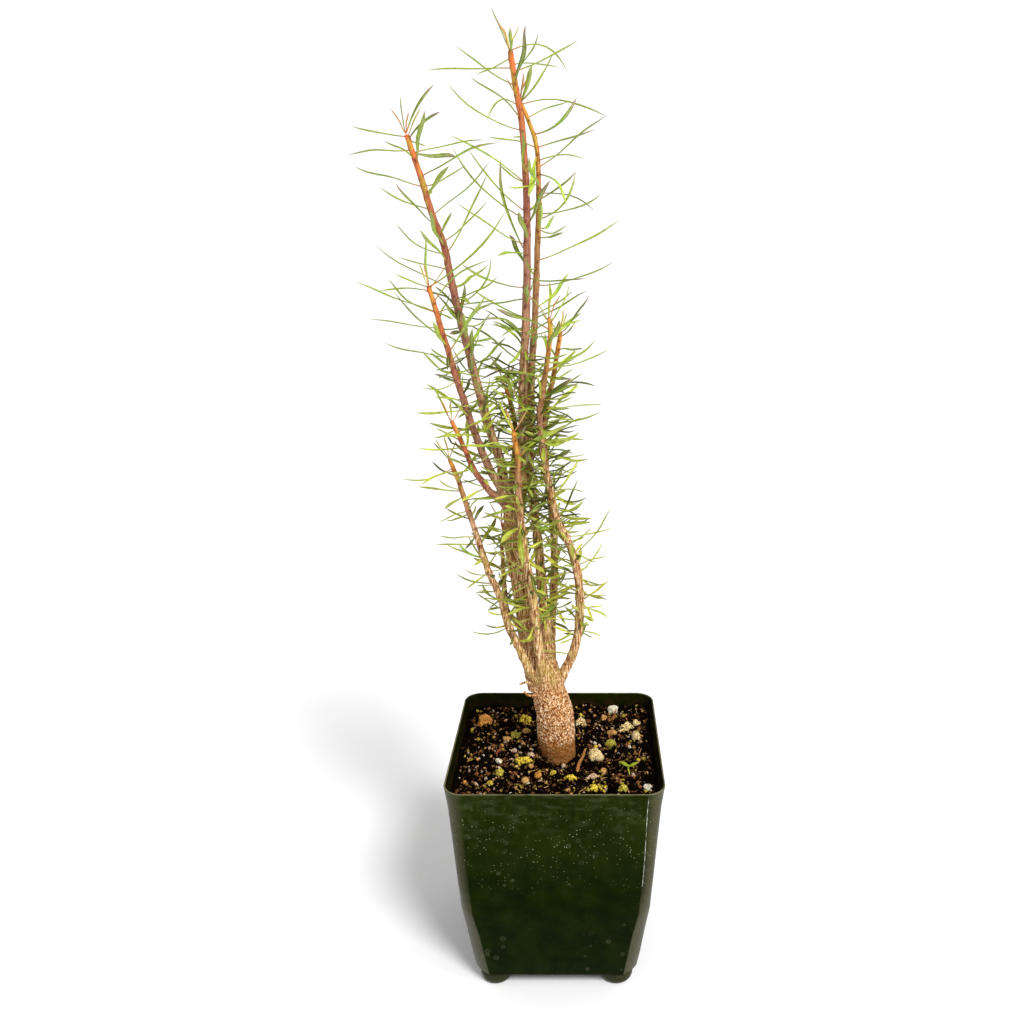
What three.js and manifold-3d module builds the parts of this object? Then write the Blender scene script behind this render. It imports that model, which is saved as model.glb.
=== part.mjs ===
// A young sweet tabaiba, Euphorbia balsamifera, grown from seed in a deep square nursery pot.
// Millimetres, +Z up. The origin is the middle of the pot's flat underside; the feet reach below it.
// +X is to the right and +Y to the back, as the plant is usually shown.
// The plant is one leafy stem a node, on a corky trunk that stands in a hole in the soil.

import * as THREE from 'three';
import { mergeVertices } from 'three/addons/utils/BufferGeometryUtils.js';
import Module from 'manifold-3d';

const wasm = await Module();
wasm.setup();

// Driving dimensions of the pot
const RIM_HEIGHT = 82;
const WALL = 0.9;
const FLOOR = 1.4;
// Height, half width and corner radius of the outside, from the underside to the rim.
const POT_PROFILE = [
  [0, 27.2, 3.6], [1.8, 29.6, 5.2], [8, 30.7, 5.4], [21, 32.4, 5.1], [31, 33.8, 4.4],
  [54, 35.4, 4.8], [74, 36.9, 5.9], [RIM_HEIGHT, 38, 6.7],
];
const CORNER_STEPS = 4;
const FOOT_HEIGHT = 4.5;
const FOOT_RADIUS = 6;
const FOOT_FLAT = 3.4;
const FOOT_SUNK = 1.2;
const FOOT_PLACE = 22.4;
const DRAIN_RADIUS = 4;
const DRAIN_PLACE = 15;

// Driving dimensions of the soil
const GAP = 0.3;
const SOIL_TOP = 77;
const SOIL_EDGE = SOIL_TOP - 1.5;
const SOIL_WAVE = 0.7;
const SOIL_RINGS = [0.95, 0.84, 0.7, 0.56, 0.43, 0.31, 0.21];
const SIDE_STEPS = 2;
const BOLD_GRAIN = 13;
const HOLE_RADIUS = 7.2;
const HOLE_FLOOR = 62;

// Driving dimensions of the plant
const TRUNK_FOOT = HOLE_FLOOR + GAP;
const STEM_SIDES = 6;
const COLLAR_STRAIGHT = 1.5;
const COLLAR_SWELL = 1.25;
const RING_SPACING = 11;
const LEAST_RINGS = 6;
const LEAF_SPACING = 3.2;
const LEAF_KEEL = 0.62;
const LEAF_SEED = 20417;
const GOLDEN_TURN = 137.5;
// A leaf of the rule is left out beside a seen one: within this height, and with a turn whose
// cosine to it is larger. Sideways is the cosine from which a leaf points left or right.
const SEEN_HEIGHT = 1.6;
const SEEN_COSINE = 0.64;
const SIDEWAYS = 0.55;

// The trunk's and the thick left limb's centre line with the radius: x, y, z, radius.
const TRUNK = [
  [0.9, -2.5, TRUNK_FOOT, 5.8], [0.9, -2.5, 72, 6], [0.8, -2.5, 78, 6.2], [0, -2.5, 84, 6.8],
  [-0.7, -2.5, 94, 6.9], [-2.1, -2.5, 102, 6.5], [-3.2, -2.3, 109, 5.9], [-4.2, -2.1, 114, 4.7],
  [-4.6, -2, 117.5, 2.6],
];
const LIMB = [
  [-6.2, -2.2, 104, 4.2], [-9.3, -2, 118, 3.4], [-11.3, -1.7, 133, 3], [-12.7, -1.5, 142, 2.7],
  [-14.6, -1.2, 152, 2.5], [-15.8, -1, 160, 2.3], [-15.6, -1, 168, 2.2], [-15.6, -1, 174, 2],
  [-15.7, -1, 177, 1.2],
];
// Dry twigs on the trunk and a tiny new shoot on the limb: x, y, z, radius.
const TWIGS = [
  [[-6.5, -5, 106, 0.7], [-10.4, -7.2, 108.5, 0.5], [-13, -8, 108, 0.35]],
  [[-6, -5.5, 103, 0.7], [-9.3, -8, 103.6, 0.45], [-11.2, -8.6, 105.4, 0.35]],
  [[-14.6, -2.2, 149, 0.8], [-14.8, -4.4, 153, 0.7], [-16.6, -5, 158, 0.4]],
];

// Each leafy stem: the collar that the trunk carries it on, then its own line from foot to tip,
// its radius at foot and tip, the height from which it bears leaves, and the length of its lowest
// and highest leaves. Seen leaves are rows of height on the stem, compass turn from +X towards +Y,
// rise above level, length from root to tip, curl up, and width. On a stem that is traced they are
// all its leaves to the left and right.
const STEMS = [
  {
    name: 'stem_tall_middle', color: 0xb5523a, radius: [1.75, 0.85], bare: 166, leaves: [17, 25],
    traced: true,
    collar: [[-14, -1, 148], [-13.4, 0.9, 157]],
    line: [
      [-12.8, 2.3, 164], [-12.3, 2.8, 170], [-11.3, 3, 181], [-10.8, 3, 199], [-10.5, 3, 215],
      [-9.4, 3, 232], [-8.6, 3, 252], [-8.4, 3, 275], [-9.4, 3, 296], [-11, 3, 306], [-12.8, 3, 318.5],
    ],
    seen: [
      [318, 170, 65, 14, 0, 0.9], [318, 355, -20, 19, -90, 1.1], [317, 275, 55, 8, 10, 1.5],
      [316, 215, -25, 14, 0, 1.6], [314, 25, 0, 16, -30, 1.1], [313, 170, 0, 28, -10, 1.5],
      [312, 15, 25, 23, 10, 1.3], [308, 195, 30, 21, 10, 1.9], [302, 160, -20, 12, -110, 1.6],
      [295, 160, 30, 30, 40, 1.2], [279, 165, 30, 30, -20, 1.2], [279, 225, 25, 13, 10, 1.6],
      [270, 145, 40, 32, 20, 1.2], [268, 155, 40, 36, 40, 1.5], [261, 260, 40, 14, -10, 2.2],
      [260, 195, 30, 26, 20, 1.3], [257, 140, 70, 32, 50, 1.5],
    ],
  },
  {
    name: 'stem_tall_right', color: 0xc4642f, radius: [1.9, 0.6], bare: 130, leaves: [14, 25],
    traced: true,
    collar: [[-2, 0, 108], [-2.8, 0.9, 117]],
    line: [
      [-3.4, 1.4, 124], [-4.4, 2.4, 135.5], [-5.4, 3.8, 146], [-6.6, 5, 160], [-7.9, 6.2, 173.5],
      [-8.9, 6.9, 182], [-8.6, 7, 198], [-7.8, 7, 218], [-6.4, 7, 236], [-5.2, 7, 260],
      [-4.6, 6.5, 275], [-5.1, 6.5, 290], [-8, 6.5, 299], [-10.4, 6.5, 304],
    ],
    seen: [
      [303, 10, -7, 28, -45, 1.4], [303, 330, 70, 13, 0, 2.0], [299, 35, 20, 18, -10, 1.3],
      [294, 340, 35, 18, 60, 2.0], [290, 205, 10, 16, -20, 1.6], [290, 350, 15, 20, 0, 1.3],
      [288, 260, -45, 19, 0, 2.2], [286, 330, 0, 17, -40, 1.1], [284, 20, 35, 29, 0, 1.5],
      [282, 320, -40, 16, -70, 2.2], [279, 220, -5, 23, 10, 1.2], [276, 25, -15, 21, -50, 1.2],
      [274, 20, 35, 16, 20, 1.8], [270, 345, 15, 22, 40, 1.8], [268, 330, 45, 20, 70, 1.8],
      [265, 45, 5, 13, 60, 1.6], [264, 280, 40, 14, 0, 1.8], [255, 355, 25, 30, 20, 1.8],
      [247, 15, 15, 28, 30, 1.5],
    ],
  },
  {
    name: 'stem_tall_left', color: 0xc1613c, radius: [1.65, 0.85], bare: 188, leaves: [18, 24],
    traced: true,
    collar: [[-15.4, -1, 170], [-16.5, -0.6, 176]],
    line: [
      [-17.4, 0, 180.6], [-18.7, 0.6, 188.5], [-20.6, 1, 194], [-22.8, 1.4, 201.5], [-25.8, 2, 213.5],
      [-29, 2, 227.5], [-32.4, 2, 243], [-35.4, 2, 259.5], [-38.9, 2, 269.5], [-41.6, 2, 279.5],
      [-44.2, 2, 288], [-46, 2, 294],
    ],
    seen: [
      [294, 180, 85, 11, 20, 1.0], [294, 350, 55, 17, -30, 1.9], [293, 170, 10, 19, 10, 1.1],
      [292, 320, 25, 17, -30, 1.8], [292, 55, -10, 8, 0, 1.2], [289, 190, -5, 20, -10, 1.2],
      [288, 10, 10, 24, -20, 1.2], [286, 220, 25, 12, -30, 1.5], [281, 345, 20, 28, -20, 1.6],
      [278, 165, 15, 25, 10, 1.2], [278, 40, 25, 17, 20, 1.5], [275, 315, 35, 15, -10, 2.2],
      [271, 155, 20, 21, 20, 1.3], [269, 35, 40, 27, 10, 1.2], [266, 205, 45, 18, 20, 1.7],
      [263, 300, 35, 12, 0, 1.8], [261, 20, 40, 20, 20, 1.8], [257, 345, 60, 29, 10, 2.1],
      [257, 165, 30, 20, 50, 1.1], [254, 225, 45, 15, 0, 1.6], [252, 150, 10, 22, 0, 1.1],
      [246, 190, 30, 28, 20, 1.4], [246, 30, 30, 15, 20, 1.5], [241, 340, 50, 20, 70, 1.9],
      [229, 275, 45, 14, 10, 1.8], [222, 280, 45, 17, -10, 1.9],
    ],
  },
  {
    name: 'stem_left', color: 0xc9682f, radius: [1.4, 0.75], bare: 188, leaves: [16, 22],
    traced: true,
    collar: [[-15.6, -1.4, 170], [-17.2, -2.6, 176]],
    line: [
      [-19.4, -3.4, 181.4], [-21.3, -3.9, 184.8], [-23.2, -4.3, 189.5], [-25.1, -4.7, 195],
      [-27.6, -5.2, 202.5], [-29.8, -5.5, 210.5], [-32.1, -5.5, 218], [-34.3, -5.5, 226.5],
      [-36.4, -5.5, 234], [-38.4, -5.5, 241.8], [-40, -5.5, 247.5],
    ],
    seen: [
      [247, 340, 40, 36, 30, 1.9], [247, 275, 70, 16, 10, 1.0], [247, 150, 15, 14, 10, 1.1],
      [246, 200, 0, 16, -20, 1.3], [242, 325, 30, 28, -40, 1.4], [239, 175, 20, 28, 0, 1.5],
      [239, 210, 35, 19, 40, 1.7], [239, 20, 10, 21, -10, 1.4], [239, 50, -20, 9, -10, 1.2],
      [234, 165, 5, 26, 0, 1.2], [230, 195, 45, 22, 10, 2.0], [228, 255, 40, 14, 10, 2.0],
      [226, 335, 40, 26, 0, 1.9], [224, 190, 15, 22, 10, 1.4], [223, 25, 35, 19, 10, 1.6],
      [219, 220, 35, 15, 40, 1.7], [207, 170, -5, 18, 10, 1.4],
    ],
  },
  {
    name: 'stem_left_short', color: 0xb27a45, radius: [1.15, 0.65], bare: 180, leaves: [14, 17],
    collar: [[-15.3, -1.4, 166], [-16.2, -4.6, 172.4]],
    line: [
      [-19.2, -6.7, 176.6], [-21.8, -7.3, 179.4], [-24.2, -7.7, 183], [-26.8, -8, 187],
      [-30.4, -8, 196], [-32.7, -8, 201.5], [-34.3, -8, 204.3],
    ],
    seen: [
      [204, 150, 60, 13, 0, 1.4], [197, 170, 25, 10, -10, 1.3], [195, 190, 0, 15, 20, 1.4],
      [178, 200, -50, 25, -20, 1.8],
    ],
  },
  {
    name: 'stem_back_short', color: 0xd07a3a, radius: [1.05, 0.65], bare: 188, leaves: [15, 19],
    collar: [[-15.4, -0.8, 170], [-15.2, 1.8, 177.5]],
    line: [
      [-14.8, 4.2, 184.2], [-14, 5.8, 190], [-13.6, 6.8, 196.5], [-14.3, 7.6, 203], [-15.8, 8, 209],
      [-17.2, 8, 213.5],
    ],
    seen: [],
  },
  {
    name: 'stem_front', color: 0xb87a4a, radius: [1.85, 0.85], bare: 123, leaves: [12, 18],
    collar: [[-4, -4.6, 107], [-5, -6.4, 113.6]],
    line: [
      [-5.3, -7, 118.5], [-6.5, -7.6, 127], [-7.2, -8, 136], [-8, -8.4, 144], [-9.4, -8.5, 152],
      [-10.8, -8.5, 162], [-11.4, -8.5, 170], [-12, -8.5, 180], [-12, -8.3, 190], [-13.3, -8, 200.5],
    ],
    seen: [
      [200, 165, 65, 12, 10, 1.5], [195, 195, 5, 19, 0, 2.0], [191, 220, -30, 10, -30, 2.3],
      [174, 200, -10, 14, -10, 2.2], [170, 275, -40, 19, 10, 2.2], [167, 225, -20, 10, -40, 2.4],
      [141, 190, 5, 18, 10, 1.6],
    ],
  },
  {
    name: 'stem_right', color: 0xb0663f, radius: [1.65, 0.75], bare: 120, leaves: [12, 21],
    collar: [[-0.5, -2.2, 103], [2.6, -2, 109.8]],
    line: [
      [4.7, -2, 114], [6.3, -2, 118], [7.7, -2, 123.5], [8.4, -2, 130], [8.8, -2, 138], [8.4, -2, 144.5],
      [7.6, -2, 149.5], [6, -2, 156], [3.4, -2, 162.5], [0.3, -2, 169.5], [-1.3, -2, 178],
      [-3.1, -2, 186], [-4.2, -2, 195], [-4.8, -2, 204], [-3.6, -2, 213], [-2, -2, 223],
      [-0.9, -2, 232.5], [-1.4, -2, 237],
    ],
    seen: [
      [236, 90, 70, 13, 0, 1.3], [235, 330, 60, 15, 20, 1.5], [207, 20, 0, 23, 0, 1.2],
      [201, 345, 15, 22, 20, 1.9], [178, 350, 0, 12, -50, 1.3], [176, 335, 55, 18, 20, 1.9],
      [168, 25, 60, 16, 20, 1.9], [167, 340, 5, 12, 10, 1.9], [162, 15, 5, 17, 20, 1.4],
      [154, 20, 50, 22, 10, 1.0], [148, 340, 55, 16, 30, 1.4], [146, 330, -5, 9, -20, 1.5],
      [140, 10, -5, 10, -10, 1.0], [135, 30, -5, 10, 20, 0.9], [131, 285, -10, 6, 10, 1.4],
      [127, 345, -15, 9, -20, 1.0],
    ],
  },
  {
    name: 'stem_back_right', color: 0xb4714a, radius: [1.5, 0.75], bare: 129, leaves: [13, 21],
    collar: [[-2.5, 1.4, 110], [-2, 4, 119.5]],
    line: [
      [-1.7, 5.3, 127], [-1.1, 6, 135], [-0.6, 6.6, 147], [-0.7, 7, 158], [-1.2, 7.3, 166],
      [-2.2, 7.5, 176], [-3.4, 7.5, 185], [-4.1, 7.5, 197], [-2.6, 7.5, 207], [-0.6, 7.3, 215],
      [0.8, 7, 223], [2.3, 7, 231.5],
    ],
    seen: [[231, 20, 50, 16, 20, 1.5], [191, 25, -15, 12, -20, 1.5], [178, 10, 30, 13, -20, 1.5]],
  },
  {
    name: 'stem_low_left', color: 0xae7a52, radius: [1.45, 0.7], bare: 120, leaves: [10, 17],
    collar: [[-5.4, -4, 105], [-9.4, -6.2, 112.8]],
    line: [
      [-11.7, -7, 118.6], [-13, -7, 122], [-15.3, -6.8, 127], [-17.1, -6.5, 132], [-18.4, -6.3, 138],
      [-20.7, -6, 144.5], [-23, -5.8, 150], [-25.2, -5.5, 157], [-27.6, -5.2, 165.5],
      [-30, -5, 173.5], [-32.6, -5, 182.5], [-35.5, -5, 190.5],
    ],
    seen: [
      [190, 190, 50, 8, 0, 1.2], [187, 170, -15, 19, 30, 1.2], [186, 195, -20, 12, -30, 1.4],
      [179, 160, 0, 17, 10, 1.2], [177, 210, -25, 8, -10, 1.4], [172, 190, -20, 11, -20, 1.3],
      [169, 145, 10, 12, 20, 1.6], [160, 165, -5, 17, 0, 1.3], [155, 195, 25, 14, 10, 1.5],
      [155, 230, -15, 5, 20, 1.6], [150, 205, -30, 10, 0, 1.7], [149, 150, 0, 11, 30, 1.5],
      [146, 195, 20, 14, 40, 1.5], [143, 160, -10, 9, 10, 1.1], [135, 210, 20, 7, 70, 1.3],
      [130, 185, -5, 14, 60, 1.3],
    ],
  },
  {
    name: 'stem_inner_left', color: 0xb98a5a, radius: [1.1, 0.6], bare: 131, leaves: [11, 15],
    collar: [[-9.4, -1, 117], [-11.8, 1.8, 122.4]],
    line: [
      [-14.4, 4.2, 127], [-16.4, 5.3, 128.6], [-18.4, 6.2, 132], [-18.9, 7.1, 138.5], [-19.2, 7.5, 148],
      [-19.4, 7.8, 156], [-18.6, 8, 160.5], [-19.4, 8, 164],
    ],
    seen: [],
  },
];

// Stones, perlite, bark and crusts that stand out of the soil: x, y, width, depth, height.
const GRAINS = [
  [-29.3, 20, 6.2, 6, 4], [-13.3, 22.9, 4.8, 5, 3], [-12.3, 13.2, 2.6, 3, 2], [-16.2, 12.5, 4, 4.4, 1.6],
  [-19.2, 7, 3.8, 4, 2.8], [-24.1, 1.8, 3.4, 3.6, 2], [-21.9, -2.6, 6.6, 1.8, 1.6],
  [-9.4, -4.6, 3, 3, 2.2], [-21.1, -7, 2.4, 2.6, 2], [-12.2, -9, 6.4, 5.4, 2.6],
  [-6.3, -17.3, 3, 3, 2.6], [-10.8, -20.6, 3.2, 3.2, 2.6], [-20, -16.6, 2.6, 3, 2],
  [-22.7, -23.9, 2.6, 3, 2.2], [-12.3, -25.2, 4.2, 1.6, 1.4], [-0.9, -18, 2.2, 2.8, 2],
  [21.3, 30.5, 4.4, 4.6, 3.4], [8.9, 20.5, 4.2, 4.4, 3], [18.1, 23.7, 2.8, 3, 2.4],
  [20.6, 13.2, 3.6, 4, 3], [19.7, 8.6, 3.8, 1.6, 1.4], [26.5, 14.8, 5.6, 5.4, 3.8],
  [30.5, 18.8, 3, 3.2, 2.6], [30.2, 9.4, 3.8, 3.8, 3.4], [19.9, 2.5, 4.2, 4.4, 3],
  [14.8, -5.6, 5.6, 6.6, 4.6], [17.3, -15.3, 2.6, 2.8, 2], [13.3, -18.4, 2.6, 2.8, 2],
  [5.2, -20.6, 4, 4.2, 2.4], [14.3, -26.2, 5.2, 3.4, 2], [23.7, -27.1, 3.2, 3, 2],
  [32.4, -26.4, 3.4, 3.6, 3],
];
// The small seedling weed in the front right of the soil.
const SEEDLING = { x: 26.2, y: -17.5, foot: 72, top: 82.5, radius: 0.45, hole: 0.9, leaf: 3.6 };

const rad = THREE.MathUtils.degToRad;
const point = ([x, y, z]) => new THREE.Vector3(x, y, z);

// Seeded draws from 0 to 1, the same on every run.
function draws(seed) {
  let state = seed;
  return () => {
    state = (state * 48271) % 2147483647;
    return state / 2147483647;
  };
}

// Closed solids from geometry, and geometry from solids

function toSolid(geometry) {
  const bare = geometry.clone();
  bare.deleteAttribute('normal');
  bare.deleteAttribute('uv');
  const merged = mergeVertices(bare, 1e-5);
  return new wasm.Manifold(new wasm.Mesh({
    numProp: 3,
    vertProperties: new Float32Array(merged.attributes.position.array),
    triVerts: new Uint32Array(merged.index.array),
  }));
}

function toMesh(solid, name, material) {
  const { vertProperties, triVerts } = solid.getMesh();
  const geometry = new THREE.BufferGeometry();
  geometry.setAttribute('position', new THREE.BufferAttribute(vertProperties, 3));
  geometry.setIndex(new THREE.BufferAttribute(triVerts, 1));
  geometry.computeVertexNormals();
  const mesh = new THREE.Mesh(geometry, new THREE.MeshStandardMaterial(material));
  mesh.name = name;
  return mesh;
}

// A skin over rings of points, closed at both ends. A ring of one point is a tip. The rings run
// counter-clockwise as seen from the last one.
function loft(rings) {
  const starts = [];
  rings.reduce((count, ring) => (starts.push(count), count + ring.length), 0);
  const index = [];
  for (let i = 0; i + 1 < rings.length; i++) {
    const low = rings[i].length;
    const high = rings[i + 1].length;
    const sides = Math.max(low, high);
    for (let j = 0; j < sides; j++) {
      const next = (j + 1) % sides;
      const a = starts[i] + (j % low);
      const b = starts[i] + (next % low);
      const c = starts[i + 1] + (next % high);
      const d = starts[i + 1] + (j % high);
      if (low > 1) index.push(a, b, c);
      if (high > 1) index.push(a, c, d);
    }
  }
  const last = starts[rings.length - 1];
  for (let j = 1; j + 1 < rings[0].length; j++) index.push(0, j + 1, j);
  for (let j = 1; j + 1 < rings.at(-1).length; j++) index.push(last, last + j, last + j + 1);
  const geometry = new THREE.BufferGeometry().setFromPoints(rings.flat());
  geometry.setIndex(index);
  return geometry;
}

// A round bar along a smooth line, thinner or thicker from ring to ring.
function bar(line, radii, sides, steps) {
  const curve = new THREE.CatmullRomCurve3(line, false, 'catmullrom', 0.5);
  const reach = radii.length - 1;
  const rings = [];
  for (let i = 0; i <= steps; i++) {
    const t = i / steps;
    const at = Math.min(Math.floor(t * reach), reach - 1);
    const radius = THREE.MathUtils.lerp(radii[at], radii[at + 1], t * reach - at);
    const along = curve.getTangent(t);
    const across = new THREE.Vector3(1, 0, 0).addScaledVector(along, -along.x).normalize();
    const aside = new THREE.Vector3().crossVectors(along, across);
    const middle = curve.getPoint(t);
    rings.push(Array.from({ length: sides }, (_, j) => {
      const turn = (2 * Math.PI * j) / sides;
      return middle.clone()
        .addScaledVector(across, radius * Math.cos(turn))
        .addScaledVector(aside, radius * Math.sin(turn));
    }));
  }
  return loft(rings);
}

// Pot

function squareRing(half, corner, z, sideSteps = 1) {
  const ring = [];
  for (let quarter = 0; quarter < 4; quarter++) {
    const middle = new THREE.Vector3(half - corner, half - corner, z);
    const arc = [];
    for (let i = 0; i <= CORNER_STEPS; i++) {
      const turn = (Math.PI / 2) * (i / CORNER_STEPS);
      arc.push(new THREE.Vector3(corner * Math.cos(turn), corner * Math.sin(turn), 0).add(middle));
    }
    const end = arc.at(-1);
    const nextStart = new THREE.Vector3(corner - half, half, z);
    for (let i = 1; i < sideSteps; i++) arc.push(end.clone().lerp(nextStart, i / sideSteps));
    ring.push(...arc.map((p) => p.applyAxisAngle(new THREE.Vector3(0, 0, 1), quarter * Math.PI / 2)));
  }
  return ring;
}

// The profile's half width and corner radius at a height, less what is taken off the outside.
function profileAt(z, inset) {
  const above = Math.max(POT_PROFILE.findIndex(([height]) => height >= z), 1);
  const [low, high] = [POT_PROFILE[above - 1], POT_PROFILE[above]];
  const t = (z - low[0]) / (high[0] - low[0]);
  return [
    THREE.MathUtils.lerp(low[1], high[1], t) - inset,
    THREE.MathUtils.lerp(low[2], high[2], t) - inset * 0.5,
  ];
}

function innerRing(z, inset, sideSteps, placeZ = z) {
  const [half, corner] = profileAt(z, inset);
  return squareRing(half, corner, placeZ, sideSteps);
}

function makePot() {
  const outside = toSolid(loft(POT_PROFILE.map(([z, half, corner]) => squareRing(half, corner, z))));
  const heights = POT_PROFILE.map(([z]) => z).filter((z) => z > FLOOR && z < RIM_HEIGHT);
  const cavity = toSolid(loft([
    innerRing(FLOOR, WALL, 1),
    ...heights.map((z) => innerRing(z, WALL, 1)),
    innerRing(RIM_HEIGHT, WALL, 1, RIM_HEIGHT + 1),
  ]));
  let pot = outside.subtract(cavity);
  const footShape = [
    [0, -FOOT_HEIGHT], [FOOT_FLAT, -FOOT_HEIGHT], [FOOT_RADIUS * 0.85, -FOOT_HEIGHT * 0.83],
    [FOOT_RADIUS * 0.97, -FOOT_HEIGHT * 0.5], [FOOT_RADIUS, 0], [FOOT_RADIUS, FOOT_SUNK], [0, FOOT_SUNK],
  ].map(([r, z]) => new THREE.Vector2(r, z));
  for (const [sideX, sideY] of [[1, 1], [-1, 1], [-1, -1], [1, -1]]) {
    const foot = new THREE.LatheGeometry(footShape, 14).rotateX(Math.PI / 2);
    pot = pot.add(toSolid(foot.translate(sideX * FOOT_PLACE, sideY * FOOT_PLACE, 0)));
  }
  for (const [x, y] of [[1, 0], [-1, 0], [0, 1], [0, -1]]) {
    const drain = new THREE.CylinderGeometry(DRAIN_RADIUS, DRAIN_RADIUS, FLOOR * 3, 12);
    drain.rotateX(Math.PI / 2).translate(x * DRAIN_PLACE, y * DRAIN_PLACE, 0);
    pot = pot.subtract(toSolid(drain));
  }
  return toMesh(pot, 'pot', { color: 0x1c2b1f, roughness: 0.35, metalness: 0 });
}

// Soil

function soilHeight(x, y) {
  const wave = Math.sin(0.31 * x + 1.1) * Math.cos(0.27 * y - 0.4) + 0.6 * Math.sin(0.53 * x - 0.47 * y);
  return SOIL_TOP + SOIL_WAVE * wave;
}

function makeSoil() {
  const inset = WALL + GAP;
  const floor = FLOOR + GAP;
  const heights = POT_PROFILE.map(([z]) => z).filter((z) => z > floor && z < SOIL_EDGE);
  const edge = innerRing(SOIL_EDGE, inset, SIDE_STEPS);
  const top = SOIL_RINGS.map((scale) => edge.map((p) => {
    const [x, y] = [p.x * scale, p.y * scale];
    return new THREE.Vector3(x, y, soilHeight(x, y));
  }));
  let soil = toSolid(loft([
    innerRing(floor, inset, SIDE_STEPS),
    ...heights.map((z) => innerRing(z, inset, SIDE_STEPS)),
    edge,
    ...top,
    [new THREE.Vector3(0, 0, SOIL_TOP)],
  ]));
  const draw = draws(LEAF_SEED);
  const grains = GRAINS.map(([x, y, width, depth, height]) => {
    const grain = width * depth > BOLD_GRAIN
      ? new THREE.IcosahedronGeometry(0.5, 0) : new THREE.OctahedronGeometry(0.55, 0);
    grain.rotateX(draw() * Math.PI).rotateZ(draw() * Math.PI).scale(width, depth, height * 1.5);
    return toSolid(grain.translate(x, y, soilHeight(x, y) + height * 0.2));
  });
  soil = wasm.Manifold.union([soil, ...grains]);
  const [x, y] = TRUNK[0];
  const hole = new THREE.CylinderGeometry(HOLE_RADIUS, HOLE_RADIUS, 30, 14).rotateX(Math.PI / 2);
  soil = soil.subtract(toSolid(hole.translate(x, y, HOLE_FLOOR + 15)));
  const pit = new THREE.CylinderGeometry(SEEDLING.hole, SEEDLING.hole, 20, 6).rotateX(Math.PI / 2);
  soil = soil.subtract(toSolid(pit.translate(SEEDLING.x, SEEDLING.y, SEEDLING.foot - GAP + 10)));
  return toMesh(soil, 'soil', { color: 0x2a1d14, roughness: 1, metalness: 0 });
}

// Plant

const SAMPLES = 200;

// Points along a stem with the radius there, and the point at a given height.
function traceStem({ line, radius }) {
  const curve = new THREE.CatmullRomCurve3(line.map(point), false, 'catmullrom', 0.5);
  const points = [];
  const radii = [];
  for (let i = 0; i <= SAMPLES; i++) {
    points.push(curve.getPoint(i / SAMPLES));
    radii.push(THREE.MathUtils.lerp(radius[0], radius[1], i / SAMPLES));
  }
  return { points, radii, curve };
}

function pointAt(points, z) {
  const above = points.findIndex((p) => p.z >= z);
  if (above <= 0) return points.at(above).clone();
  const [low, high] = [points[above - 1], points[above]];
  return low.clone().lerp(high, (z - low.z) / (high.z - low.z));
}

// A leaf's middle line is a curve with two equal legs: root, bend and tip.
function leafLine(root, { turn, rise, length, curl }) {
  const leg = length / (2 * Math.cos(rad(curl) / 2));
  const heading = (slope) => new THREE.Vector3(
    Math.cos(rad(slope)) * Math.cos(rad(turn)),
    Math.cos(rad(slope)) * Math.sin(rad(turn)),
    Math.sin(rad(slope)),
  );
  const bend = root.clone().addScaledVector(heading(rise - curl / 2), leg);
  const tip = bend.clone().addScaledVector(heading(rise + curl / 2), leg);
  return { root, bend, tip, turn, curl };
}

function leafPoint({ root, bend, tip }, t) {
  return new THREE.Vector3()
    .addScaledVector(root, (1 - t) * (1 - t))
    .addScaledVector(bend, 2 * t * (1 - t))
    .addScaledVector(tip, t * t);
}

// A leaf's stations, how far along and its width there as a share of the full width. A leaf that
// curls has one more.
const PLAIN_STATIONS = [[0, 0.5], [0.5, 1], [1, 0]];
const CURLED_STATIONS = [[0, 0.5], [0.36, 0.95], [0.7, 0.85], [1, 0]];
const CURLED_FROM = 28;
// What a clear leaf keeps round its middle line, as a share of its width, and beyond that.
const CLEAR_SHARE = 0.5;
const CLEAR_GAP = 0.25;

function stationsOf({ curl }) {
  return Math.abs(curl) > CURLED_FROM ? CURLED_STATIONS : PLAIN_STATIONS;
}

function stretches(leaf, width) {
  const along = stationsOf(leaf).map(([t]) => leafPoint(leaf, t));
  return along.slice(1).map((b, i) => ({ a: along[i], b, reach: CLEAR_SHARE * width }));
}

// The least distance between two straight stretches.
function between(p, q) {
  const [u, v, w] = [p.b.clone().sub(p.a), q.b.clone().sub(q.a), p.a.clone().sub(q.a)];
  const [a, b, c, d, e] = [u.dot(u), u.dot(v), v.dot(v), u.dot(w), v.dot(w)];
  const spread = a * c - b * b;
  const clamp = THREE.MathUtils.clamp;
  let s = spread > 1e-9 ? clamp((b * e - c * d) / spread, 0, 1) : 0;
  const t = clamp((b * s + e) / c, 0, 1);
  s = clamp((b * t - d) / a, 0, 1);
  return w.addScaledVector(u, s).addScaledVector(v, -t).length();
}

// The changes that are tried in turn to bring a leaf clear of the other stems and their leaves:
// degrees of turn, degrees of rise, and a share of the length.
const BENDS = [
  [0, 0, 1], [8, 0, 1], [-8, 0, 1], [0, 9, 1], [0, -9, 1], [16, 6, 1], [-16, 6, 1], [16, -8, 0.95],
  [-16, -8, 0.95], [26, 0, 0.9], [-26, 0, 0.9], [0, 20, 0.9], [0, -20, 0.9], [38, 10, 0.85],
  [-38, 10, 0.85], [52, 0, 0.8], [-52, 0, 0.8], [20, 30, 0.75], [-20, 30, 0.75], [75, 10, 0.7],
  [-75, 10, 0.7], [100, 15, 0.65], [-100, 15, 0.65], [140, 20, 0.6], [180, 25, 0.55], [0, 45, 0.5],
];

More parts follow.
